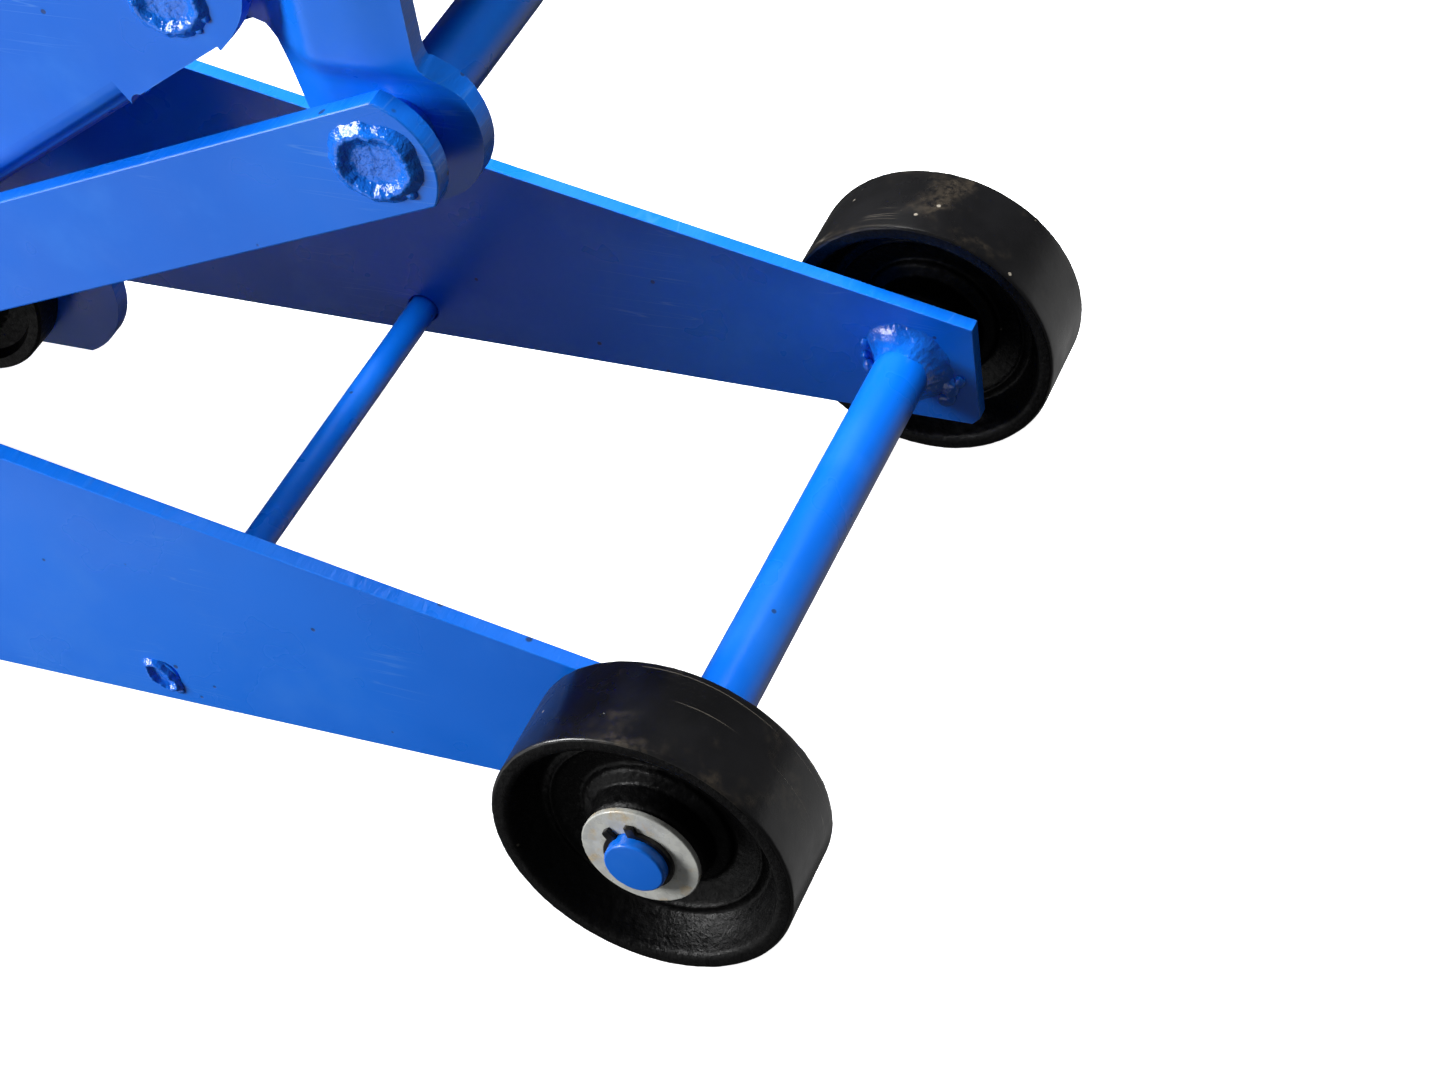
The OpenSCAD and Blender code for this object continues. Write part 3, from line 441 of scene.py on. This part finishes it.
def enamel(name, cut=True, grime=0.0, dust=0.5):
    """Blue enamel over steel plate: orange peel, thin dusty patches, chips along cut edges."""
    f = Finish(name)
    cloud = f.noise(7, 3, 0.55)
    coat = f.mix(f.step(cloud, 0.36, 0.66), BLUE_DEEP, BLUE_FULL)
    haze = f.calc("MULTIPLY", f.step(f.noise(26, 4, 0.6, offset=3), 0.48, 0.74), dust)
    coat = f.mix(haze, coat, BLUE_DUSTY)
    edge = f.edges(0.9)
    worn = f.calc("MULTIPLY", edge, f.step(f.noise(260, 3, 0.7, offset=7), 0.44, 0.60))
    coat = f.mix(f.calc("MULTIPLY", worn, 0.55), coat, BLUE_WORN)
    chipped = f.calc("MULTIPLY", edge, f.step(f.noise(170, 3, 0.6, offset=11), 0.64, 0.68))
    pits = f.specks(150, 0.16, 0.05, 5)
    dark = f.calc("MAXIMUM", f.calc("MULTIPLY", chipped, 0.8), f.calc("MULTIPLY", pits, 0.7))
    marks_here = f.step(f.noise(16, 2, offset=21), 0.56, 0.66)
    scuffs = f.scratches((9, 9, 240), 0.012, marks_here, 13)
    coat = f.mix(f.calc("MULTIPLY", scuffs, 0.35), coat, BLUE_WORN)
    coat = f.mix(dark, coat, GRIME)
    roughness = f.step(f.noise(34, 3, 0.5, offset=2), 0.3, 0.7, 0.26, 0.36)
    if grime > 0:
        film = f.step(f.noise(30, 4, 0.6, (1, 0.35, 1), 31), 0.40, 0.62)
        coat = f.mix(f.calc("MULTIPLY", film, grime), coat, (0.030, 0.045, 0.06))
    f.bump(f.noise(55, 2, 0.5), 0.10)
    f.bump(f.noise(620, 2, 0.5), 0.014)
    if cut:
        sawn = f.calc("SUBTRACT", 1.0, f.step(f.facing("Y"), 0.3, 0.8))
        shear = f.noise(1.0, 3, 0.65, (420, 90, 420), 17)
        f.bump(f.calc("MULTIPLY", shear, sawn), 0.35)
        torn = f.step(shear, 0.55, 0.75, 0.0, 0.35)
        coat = f.mix(f.calc("MULTIPLY", sawn, torn), coat, BLUE_DUSTY)
        nicks = f.calc("MULTIPLY", sawn, f.specks(130, 0.20, 0.10, 41))
        coat = f.mix(f.calc("MULTIPLY", nicks, 0.8), coat, GRIME)
    f.bump(dark, -0.12)
    return f.finish(coat, roughness, Specular_IOR_Level=0.45)


def weld_enamel(name):
    """Enamel over weld metal: glossy, with painted shade from ambient occlusion darkening the
    crevices where the heap meets the plate.
    """
    f = Finish(name)
    cloud = f.noise(90, 3, 0.6)
    coat = f.mix(f.step(cloud, 0.36, 0.66), BLUE_DEEP, BLUE_FULL)
    # painted shade: ambient occlusion darkens the crevices round each weld heap towards BLUE_SHADED
    crevice = f.node("ShaderNodeAmbientOcclusion", {"Distance": 2.2 * MM}, samples=6).outputs["AO"]
    shade = f.step(crevice, 0.50, 0.22)
    coat = f.mix(f.calc("MULTIPLY", shade, 0.75), coat, BLUE_SHADED)
    f.bump(f.noise(260, 3, 0.6), 1.0)
    f.bump(f.noise(560, 2, 0.6), 0.30)
    return f.finish(coat, f.step(cloud, 0.3, 0.7, 0.08, 0.16), Specular_IOR_Level=0.5,
                    Coat_Weight=0.4, Coat_Roughness=0.08)


def cast_tread(name):
    """The turned, painted running face of a wheel: satin black, dusty smudges, nicks, scratches."""
    f = Finish(name)
    cloud = f.step(f.noise(30, 3, 0.6), 0.35, 0.7)
    base = f.mix(cloud, (0.002, 0.002, 0.0025), (0.006, 0.006, 0.007))
    smudge = f.calc("MULTIPLY", f.step(f.noise(30, 4, 0.65, offset=4), 0.52, 0.72),
                    f.step(f.noise(300, 3, 0.7, offset=9), 0.34, 0.62))
    base = f.mix(f.calc("MULTIPLY", smudge, 0.75), base, (0.060, 0.048, 0.034))
    dust = f.specks(170, 0.15, 0.06, 2)
    scratches = f.scratches((8, 190, 8), 0.010, f.step(f.noise(22, 1, offset=6), 0.62, 0.66), 8)
    light = f.calc("MAXIMUM", f.calc("MULTIPLY", dust, 0.9), f.calc("MULTIPLY", scratches, 0.45))
    base = f.mix(light, base, (0.30, 0.27, 0.22))
    f.bump(f.noise(40, 2, 0.5), 0.30)
    f.bump(f.noise(420, 3, 0.6), 0.045)
    pits = f.specks(110, 0.15, 0.06, 15)
    f.bump(pits, -0.35)
    roughness = f.step(f.noise(24, 4, 0.6, offset=12), 0.35, 0.7, 0.22, 0.44)
    return f.finish(base, roughness, Specular_IOR_Level=0.65)


def cast_rough(name):
    """As-cast black paint: coarse sand texture under a glossy coat."""
    f = Finish(name)
    cloud = f.step(f.noise(60, 3, 0.6), 0.3, 0.7)
    base = f.mix(cloud, (0.001, 0.001, 0.0012), (0.003, 0.003, 0.0032))
    dust = f.specks(260, 0.16, 0.02, 3)
    base = f.mix(f.calc("MULTIPLY", dust, 0.5), base, (0.22, 0.20, 0.17))
    f.bump(f.noise(75, 3, 0.6), 0.5)
    f.bump(f.noise(520, 4, 0.65), 0.40)
    return f.finish(base, f.step(f.noise(420, 2), 0.3, 0.7, 0.28, 0.48), Specular_IOR_Level=0.16)


def zinc(name, stain=0.6):
    """Zinc plate: white bloom, fine brush marks, yellow-brown stains."""
    f = Finish(name)
    base = f.mix(f.step(f.noise(200, 3, 0.6), 0.35, 0.65), (0.60, 0.61, 0.58), (0.74, 0.75, 0.70))
    spots = f.step(f.noise(130, 3, 0.6, offset=5), 0.58, 0.74)
    base = f.mix(f.calc("MULTIPLY", spots, stain), base, (0.70, 0.52, 0.26))
    f.bump(f.noise(900, 2, 0.6), 0.012)
    f.bump(f.noise(110, 2, 0.5), 0.06)
    return f.finish(base, f.step(f.noise(240, 3), 0.3, 0.7, 0.22, 0.38), Metallic=0.1)


def machined(name, colour, rough_low, rough_high):
    """Turned or drawn steel: fine lay lines, thin oil film."""
    f = Finish(name)
    lay = f.noise(1.0, 3, 0.6, (260, 260, 260))
    base = f.mix(f.step(lay, 0.3, 0.7), tuple(c * 0.80 for c in colour), colour)
    film = f.step(f.noise(38, 3, 0.6, offset=8), 0.45, 0.7)
    oiled = tuple(c * s for c, s in zip(colour, (0.62, 0.55, 0.45)))
    base = f.mix(f.calc("MULTIPLY", film, 0.35), base, oiled)
    f.bump(lay, 0.02)
    f.bump(f.noise(90, 2), 0.05)
    return f.finish(base, f.step(lay, 0.3, 0.7, rough_low, rough_high), Metallic=1.0)


def spring_steel(name):
    f = Finish(name)
    cloud = f.step(f.noise(160, 3, 0.6), 0.4, 0.7)
    base = f.mix(cloud, (0.010, 0.010, 0.011), (0.045, 0.042, 0.040))
    worn = f.calc("MULTIPLY", f.edges(0.35), 0.6)
    base = f.mix(worn, base, (0.20, 0.19, 0.18))
    f.bump(f.noise(600, 2), 0.02)
    return f.finish(base, 0.30, Metallic=0.6)


def rubber(name):
    f = Finish(name)
    cloud = f.step(f.noise(45, 4, 0.6), 0.35, 0.7)
    base = f.mix(cloud, (0.010, 0.010, 0.011), (0.030, 0.029, 0.028))
    dust = f.specks(300, 0.16, 0.03, 4)
    base = f.mix(f.calc("MULTIPLY", dust, 0.5), base, (0.20, 0.19, 0.17))
    f.bump(f.noise(700, 3, 0.6), 0.05)
    f.bump(f.noise(60, 2), 0.15)
    return f.finish(base, f.step(f.noise(80, 3), 0.3, 0.7, 0.52, 0.74), Specular_IOR_Level=0.4)


PLATE_BLUE = enamel("blue_plate")
TUBE_BLUE = enamel("blue_tube", cut=False)
OILY_BLUE = enamel("blue_oiled_shaft", cut=False, grime=0.75)
WELD_BLUE = weld_enamel("blue_weld")
TREAD = cast_tread("black_tread")
CAST = cast_rough("black_casting")
ZINC = zinc("zinc_plate")
STEEL = machined("bright_steel", (0.46, 0.46, 0.47), 0.24, 0.40)
CHROME = machined("chrome_rod", (0.78, 0.79, 0.81), 0.07, 0.14)
SPRING = spring_steel("black_oxide")
RUBBER = rubber("black_rubber")
SLOT_FINISH = {
    "blue_paint": PLATE_BLUE, "black_cast": CAST, "zinc": ZINC, "bright_steel": STEEL,
    "spring_steel": SPRING, "chrome_rod": CHROME, "rubber": RUBBER,
}


# ---- front wheels ----


def front_wheel(side):
    """Cast wheel: crowned tread, rounded rims, sloping web with a ring, stepped hub."""
    node = "front_wheel_" + side
    lo, hi = low(node), high(node)
    wheel_r = (hi.z - lo.z) / 2
    width = hi.y - lo.y
    sign = 1 if side == "left" else -1
    middle = (AXLE.x, lo.y if side == "left" else hi.y, AXLE.z)
    rim_r = wheel_r - 5.4
    web_y = width / 2
    hub_y = width - 2.3
    outer_side = [
        (rim_r, width, 1.8), (rim_r - 2.6, web_y + 11, 5), (rim_r - 6.5, web_y + 4.6, 5),
        (rim_r - 8.5, web_y + 5.0, 1.2), (rim_r - 9.6, web_y + 5.6, 1.0),
        (rim_r - 10.8, web_y + 4.4, 1.4),
        (25.5, web_y + 2.0, 3), (24.6, web_y + 4.6, 2.0), (22.4, web_y + 5.4, 2.0),
        (20.6, web_y + 6.2, 2.0), (19.4, hub_y - 1.4, 2.5), (17.5, hub_y, 1.0),
    ]
    inner_side = [(r, width - y, f) for r, y, f in outer_side[:-2]]
    inner_side += [(19.6, 1.4, 2.5), (18.4, 0, 1.0)]
    corners = [(wheel_r, 0, 1.5), (wheel_r, width, 1.5)] + outer_side
    corners += [(BORE_R, hub_y, 0), (BORE_R, 0, 0)] + inner_side[::-1]
    section = resampled(rounded(corners, 5), 2.6)

    def relief(a, r, y):
        c, s = math.cos(a), math.sin(a)
        if r < BORE_R + 0.5:
            return 0.0, 0.0
        if r > wheel_r - 0.2:
            return -0.04 - 0.04 * wobble(2 * c, 2 * s, y / 14), 0.0
        rough = 0.16 * wobble(r * c / 3, r * s / 3, y / 3) + 0.10 * wobble(r * c, r * s, y)
        return (rough if r > rim_r - 4 else 0.0), (0.0 if r > rim_r - 2 or r < 18 else rough)

    def face_material(mid):
        return 0 if mid.x > wheel_r - 1.0 else 1

    bm = turned(section, middle, (0, sign, 0), 216, relief, face_material)
    piece = new_piece(node + "_look", bm, node, [TREAD, CAST])
    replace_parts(piece, node)


for wheel_side in ("left", "right"):
    front_wheel(wheel_side)


# ---- axle, washers and clips ----


def round_bar(node, materials, chamfer=1.0, wear=0.0):
    """A round bar along Y with its ends chamfered and slightly domed."""
    lo, hi = low(node), high(node)
    r = (hi.z - lo.z) / 2
    length = hi.y - lo.y
    steps = max(8, int(length / 6))
    shank = [(r, chamfer + (length - 2 * chamfer) * k / steps) for k in range(1, steps)]
    section = [Vector(point) for point in (
        (0, 0), (r - chamfer, 0), (r - 0.35 * chamfer, 0.3 * chamfer), (r, chamfer), *shank,
        (r, length - chamfer), (r - 0.35 * chamfer, length - 0.3 * chamfer),
        (r - chamfer, length), (0, length),
    )]

    def relief(a, radius, y):
        if radius < 1 or wear == 0:
            return 0.0, 0.0
        end = min(y, length - y) < 1.5 * chamfer
        dent = wear * wobble(5 * math.cos(a), 5 * math.sin(a), y / 3)
        return (-abs(dent) if end else -0.2 * abs(dent)), 0.0

    middle = ((lo.x + hi.x) / 2, lo.y, (lo.z + hi.z) / 2)
    bm = turned(section, middle, (0, 1, 0), 96, relief)
    piece = new_piece(node + "_look", bm, NODE_BODY[node], materials)
    weighted_normals(piece)
    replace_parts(piece, node)


round_bar("front_axle", [TUBE_BLUE], chamfer=0.9, wear=0.25)
round_bar("tie_rod", [TUBE_BLUE], chamfer=0.5)
round_bar("link_cross_shaft", [OILY_BLUE], chamfer=0.8)


def ring_pair(node, materials, fillet=0.5):
    """Two rings along Y, one on each side of the jack, with rounded rims."""
    lo, hi = low(node), high(node)
    r = (hi.z - lo.z) / 2
    inner = inner_y(node)
    section = rounded([(r, 0, fillet), (r, hi.y - inner, fillet), (BORE_R, hi.y - inner, 0.2),
                       (BORE_R, 0, 0)], 3)
    bm = bmesh.new()
    for sign in (1, -1):
        part = turned(section, (AXLE.x, sign * inner, AXLE.z), (0, sign, 0), 128)
        half = bpy.data.meshes.new("half")
        part.to_mesh(half)
        part.free()
        bm.from_mesh(half)
        bpy.data.meshes.remove(half)
    piece = new_piece(node + "_look", bm, "chassis", materials)
    weighted_normals(piece)
    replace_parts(piece, node)


ring_pair("wheel_washers", [ZINC])
ring_pair("wheel_inner_spacers", [ZINC])


def clip_pair():
    """Spring clips in the axle's grooves: a narrow ring with a lug on each side of its gap."""
    node = "wheel_circlips"
    inner, outer = inner_y(node), high(node).y
    groove_r, ring_r, lug_r = AXLE_R - 0.4, AXLE_R + 1.5, AXLE_R + 4.0
    gap, lug, gap_at = math.radians(13), math.radians(15), math.radians(115)
    steps = 144
    bm = bmesh.new()
    for sign in (1, -1):
        rows = []
        for k in range(steps + 1):
            turn = gap + (2 * math.pi - 2 * gap) * k / steps
            from_end = min(turn - gap, 2 * math.pi - gap - turn)
            r = lug_r + (ring_r - lug_r) * smooth((from_end - 0.8 * lug) / (0.3 * lug))
            c, s = math.cos(gap_at + turn), math.sin(gap_at + turn)
            section = [(groove_r, inner), (r, inner), (r, outer), (groove_r, outer)]
            corners = [(AXLE.x + q * c, sign * y, AXLE.z + q * s) for q, y in section]
            rows.append([bm.verts.new(corner) for corner in corners])
        for near, far in zip(rows, rows[1:]):
            for i in range(4):
                j = (i + 1) % 4
                bm.faces.new((near[i], near[j], far[j], far[i]))
        bm.faces.new(rows[0])
        bm.faces.new(rows[-1])
    bmesh.ops.recalc_face_normals(bm, faces=bm.faces)
    piece = new_piece(node + "_look", bm, "chassis", [SPRING])
    broken_edges(piece, 0.25, 40)
    weighted_normals(piece)
    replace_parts(piece, node)


clip_pair()


# ---- welds ----


def axle_beads():
    """Fillet of weld round the axle inside each plate, with a gap and drops of spatter."""
    face_y = high("axle_weld_beads").y
    # spatter round the bead: angle in degrees, distance out, size, height
    drops = [(158, 8.2, 1.9, 1.7), (176, 7.2, 1.5, 2.4), (196, 6.6, 2.6, 4.0),
             (214, 7.4, 1.6, 2.2), (-28, 9.5, 3.4, 1.6), (-44, 11.5, 3.0, 1.4),
             (-14, 12.0, 2.0, 1.0)]
    bm = bmesh.new()
    spokes, steps = 160, 12
    for sign in (1, -1):
        grid = []
        for k in range(spokes):
            a = 2 * math.pi * k / spokes
            c, s = math.cos(a), math.sin(a)
            gap = smooth((math.cos(a - math.radians(172)) - 0.93) / 0.06)
            foot = 8.6 + 2.2 * wobble(1.4 * c, 1.4 * s, seed=sign) \
                + 0.9 * wobble(5 * c, 5 * s, seed=4)
            rise = 8.6 + 1.6 * wobble(1.2 * c, 1.2 * s, seed=sign + 7) \
                + 0.6 * wobble(6 * c, 6 * s, seed=3)
            foot, rise = foot * (1 - 0.75 * gap), rise * (1 - 0.7 * gap)
            row = []
            for i in range(steps + 1):
                t = i / steps
                bulge = 1 + 0.30 * math.sin(math.pi * t) \
                    + 0.07 * wobble(3 * c, 3 * s, 3 * t, seed=8)
                r = AXLE_R - 0.3 + foot * (1 - math.sin(t * math.pi / 2)) * bulge
                out = -0.5 + rise * (1 - math.cos(t * math.pi / 2)) ** 0.9 * bulge
                row.append(bm.verts.new((AXLE.x + r * c, sign * (face_y - out), AXLE.z + r * s)))
            grid.append(row)
        for k in range(spokes):
            for i in range(steps):
                near, far = grid[k], grid[(k + 1) % spokes]
                bm.faces.new((near[i], near[i + 1], far[i + 1], far[i]))
        for n, (angle, away, size, tall) in enumerate(drops):
            a = math.radians(angle)
            r = AXLE_R + away - 2
            place = (AXLE.x + r * math.cos(a), sign * (face_y - 0.4), AXLE.z + r * math.sin(a))
            blob(bm, place, (size, 0.45 * tall + 0.8, size * 1.3), n, -a)
    bmesh.ops.recalc_face_normals(bm, faces=bm.faces)
    piece = new_piece("axle_weld_beads_look", bm, "chassis", [WELD_BLUE])
    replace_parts(piece, "axle_weld_beads")


def plug_welds(node, body, place, radius, height, hollow, extras=(), squash=0.92, turn=-20):
    """Plug welds on both outer faces, with small drops beside them."""
    base_y = inner_y(node)
    bm = bmesh.new()
    for sign in (1, -1):
        heap(bm, (place.x, sign * base_y, place.z), (0, sign, 0), radius, height, seed=3 + sign,
             hollow=hollow, squash=squash, turn=math.radians(turn * sign))
        for n, (dx, dz, size) in enumerate(extras):
            spot = (place.x + dx, sign * base_y, place.z + dz)
            blob(bm, spot, (size, 0.55 * size, 0.8 * size), n)
    bmesh.ops.recalc_face_normals(bm, faces=bm.faces)
    piece = new_piece(node + "_look", bm, body, [WELD_BLUE])
    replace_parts(piece, node)


axle_beads()
plug_welds("link_welds", "radius_links", LINK_PIN, 16.0, 2.6, 0.95, [(9, -9, 2.6), (12, -5, 1.6)])
plug_welds("arm_pin_welds", "lift_arm", ARM_PIN, 14.5, 2.1, 0.9, [(11, -4, 2.2), (8, -9, 1.5)])
plug_welds("tie_rod_welds", "chassis", TIE_ROD, 8.8, 2.0, 1.0, [(-5, 3, 1.6), (5, -6, 1.8)],
           squash=0.56, turn=45)


# ---- saddle bracket, a pressed sheet ----


def bracket_look():
    """Two walls and the top of one pressed sheet, the cheeks bulged out over the radius links."""
    lo, hi = low("saddle_bracket"), high("saddle_bracket")
    sheet_t = 7.0
    rear_y = 62.0
    ear_y = 69.0
    bend_r = 11.0
    bend_z = hi.z - bend_r
    bend_len = bend_r * math.pi / 2
    top_len = 60.0
    ear_r = 25.5
    a1, l1 = ARM_PIN, LINK_PIN
    front_x = l1.x + 12.2
    outline = [Vector((lo.x, bend_z + bend_len + top_len)), Vector((lo.x, a1.z))]
    outline += arc_points(a1.x, a1.z, 18, 192, 319, 8)
    outline += [Vector((a1.x + 15, a1.z - 12)), Vector((a1.x + 21, a1.z - 14)),
                Vector((a1.x + 24.4, a1.z - 18)), Vector((a1.x + 31, a1.z - 41))]
    outline += arc_points(l1.x, l1.z, ear_r, 200, 390, 30)
    outline += [Vector((l1.x + 18.7, l1.z + 16.2)), Vector((l1.x + 15.3, l1.z + 19.8)),
                Vector((front_x, l1.z + 24)), Vector((front_x - 0.8, l1.z + 29)),
                Vector((front_x - 0.8, bend_z + bend_len + top_len))]
    points, triangles = flat_blank(outline, 2.6)

    def cheek_y(x, z):
        front = smooth((x - a1.x - 20) / 24)
        upper = smooth((z - l1.z - 13) / 12)
        crown = 1.4 * smooth((x - front_x + 20) / 20) * upper
        return rear_y + front * (ear_y + (hi.y - ear_y) * upper - crown - rear_y)

    bm = bmesh.new()
    for sign in (1, -1):
        made = []
        for p in points:
            y0 = cheek_y(p.x, min(p.y, bend_z))
            along = p.y - bend_z
            if along <= 0:
                y, z = y0, p.y
            elif along <= bend_len:
                a = along / bend_r
                y, z = y0 - bend_r + bend_r * math.cos(a), bend_z + bend_r * math.sin(a)
            else:
                y, z = (y0 - bend_r) * (1 - (along - bend_len) / top_len), hi.z
            made.append(bm.verts.new((p.x, sign * y, z)))
        for t in triangles:
            bm.faces.new([made[i] for i in (t if sign > 0 else t[::-1])])
    bmesh.ops.remove_doubles(bm, verts=bm.verts, dist=0.01)
    bmesh.ops.recalc_face_normals(bm, faces=bm.faces)
    top = max(bm.faces, key=lambda face: face.calc_center_median().z)
    if top.normal.z < 0:
        bmesh.ops.reverse_faces(bm, faces=bm.faces)
    piece = new_piece("saddle_bracket_look", bm, "saddle_bracket", [PLATE_BLUE])
    shell = piece.modifiers.new("sheet", "SOLIDIFY")
    shell.thickness = sheet_t * MM
    shell.offset = -1
    broken_edges(piece, 0.9, 50)
    weighted_normals(piece)
    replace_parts(piece, "saddle_bracket")


bracket_look()


# ---- every other CAD node, with its edges broken ----

BEVELS = {
    "side_plate_left": 0.6, "side_plate_right": 0.6, "cradle_rail_left": 0.6,
    "cradle_rail_right": 0.6, "radius_link_left": 0.6, "radius_link_right": 0.6,
    "lift_arm": 0.8, "pump_block": 1.5, "saddle": 1.0, "handle_grip": 0.8, "gland_nut": 0.8,
    "pump_spring": 0.0, "oil_tank": 0.8,
}
TUBES = {"arm_stop_tube", "cradle_cross_bar", "oil_tank", "handle_lower_tube", "handle_upper_tube",
         "handle_socket"}
replaced = {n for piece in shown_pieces() for n in piece.get("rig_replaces", [])}
for node_name in sorted(set(NODES) - replaced):
    finish = TUBE_BLUE if node_name in TUBES else SLOT_FINISH[NODE_SLOT[node_name]]
    carried(node_name, [finish], BEVELS.get(node_name, 0.5))


# ---- floor, light and camera ----


def floor():
    """White paper that sweeps up far behind the jack, seen by the camera alone."""
    sweep_m = [(0, 0), (6, 0), (9, 0.25), (11, 1.0), (12.3, 2.6), (13, 9)]
    spokes = 48
    bm = bmesh.new()
    rings = []
    for r, z in sweep_m:
        ring = [(r * math.cos(2 * math.pi * k / spokes), r * math.sin(2 * math.pi * k / spokes), z)
                for k in range(spokes)]
        rings.append([bm.verts.new(v) for v in ring])
    for near, far in zip(rings, rings[1:]):
        for k in range(spokes):
            j = (k + 1) % spokes
            bm.faces.new((near[k], far[k], far[j], near[j]))
    bmesh.ops.remove_doubles(bm, verts=bm.verts, dist=1e-4)
    mesh = bpy.data.meshes.new("floor")
    bm.to_mesh(mesh)
    bm.free()
    paper = bpy.data.objects.new("floor", mesh)
    bpy.context.scene.collection.objects.link(paper)
    f = Finish("white_floor")
    white = f.mix(f.noise(3, 2), (0.80, 0.80, 0.80), (0.84, 0.84, 0.84))
    f.finish(white, 0.9, Specular_IOR_Level=0.1, Emission_Color=(1, 1, 1, 1), Emission_Strength=1.0)
    mesh.materials.append(f.material)
    paper.visible_diffuse = False
    paper.visible_glossy = False
    paper.visible_shadow = False


def sky():
    """A dim even room, a little darker under the horizon."""
    world = bpy.data.worlds.new("studio")
    world.use_nodes = True
    tree = world.node_tree
    direction = tree.nodes.new("ShaderNodeTexCoord")
    parts = tree.nodes.new("ShaderNodeSeparateXYZ")
    tree.links.new(direction.outputs["Generated"], parts.inputs[0])
    strength = tree.nodes.new("ShaderNodeMapRange")
    strength.interpolation_type = "SMOOTHSTEP"
    limits = {"From Min": -0.12, "From Max": 0.10, "To Min": 0.06, "To Max": 0.10}
    for name, value in limits.items():
        strength.inputs[name].default_value = value
    tree.links.new(parts.outputs[2], strength.inputs["Value"])
    tree.links.new(strength.outputs[0], tree.nodes["Background"].inputs[1])
    tree.nodes["Background"].inputs[0].default_value = (1, 1, 1, 1)
    bpy.context.scene.world = world


def softbox(name, place_m, size_m, power, mirrored=True, lights=True):
    """A lamp placed from the axle's middle that faces the jack's front end."""
    data = bpy.data.lights.new(name, "AREA")
    data.shape = "RECTANGLE"
    data.size, data.size_y = size_m
    data.energy = power
    lamp = bpy.data.objects.new(name, data)
    lamp.location = AXLE * MM + Vector(place_m)
    aim = AXLE * MM + Vector((-0.2, 0, 0.1)) - lamp.location
    lamp.rotation_mode = "QUATERNION"
    lamp.rotation_quaternion = aim.to_track_quat("-Z", "Y")
    lamp.visible_glossy = mirrored
    lamp.visible_diffuse = lights
    bpy.context.scene.collection.objects.link(lamp)


def studio():
    """Two softboxes and a small glint lamp, and two cards that only show in reflections."""
    bpy.context.scene.view_settings.view_transform = "Standard"
    floor()
    sky()
    softbox("overhead", (-0.35, 0.45, 1.6), (1.3, 1.0), 64, mirrored=False)
    softbox("front_left", (-1.25, -0.85, 0.65), (0.6, 0.6), 30)
    softbox("glint", (-0.9, 0.9, 1.9), (0.25, 0.25), 9)
    softbox("front_card", (-0.80, -0.85, -0.35), (1.1, 0.75), 2.4, lights=False)
    softbox("rear_card", (0.45, 0.45, -0.35), (1.0, 0.9), 1.0, lights=False)


def camera():
    """At the photograph's viewing angle, placed by the front wheel's size and the axle's middle."""
    wheel_m = (high("front_wheel_right").z - low("front_wheel_right").z) * MM
    data = bpy.data.cameras.new("camera")
    data.sensor_width = 36
    data.lens = 80.71
    cam = bpy.data.objects.new("camera", data)
    back = Vector((0.35389, -0.65069, 0.67184))
    right = Vector((0.91914, 0.37484, -0.12112))
    up = Vector((-0.17302, 0.66038, 0.73073))
    cam.matrix_world = Matrix((right, up, back)).transposed().to_4x4()
    wheels_away = Vector((3.5244, -7.0824, 7.2566))
    cam.location = AXLE * MM + wheel_m * wheels_away
    bpy.context.scene.collection.objects.link(cam)
    bpy.context.scene.camera = cam


studio()
camera()
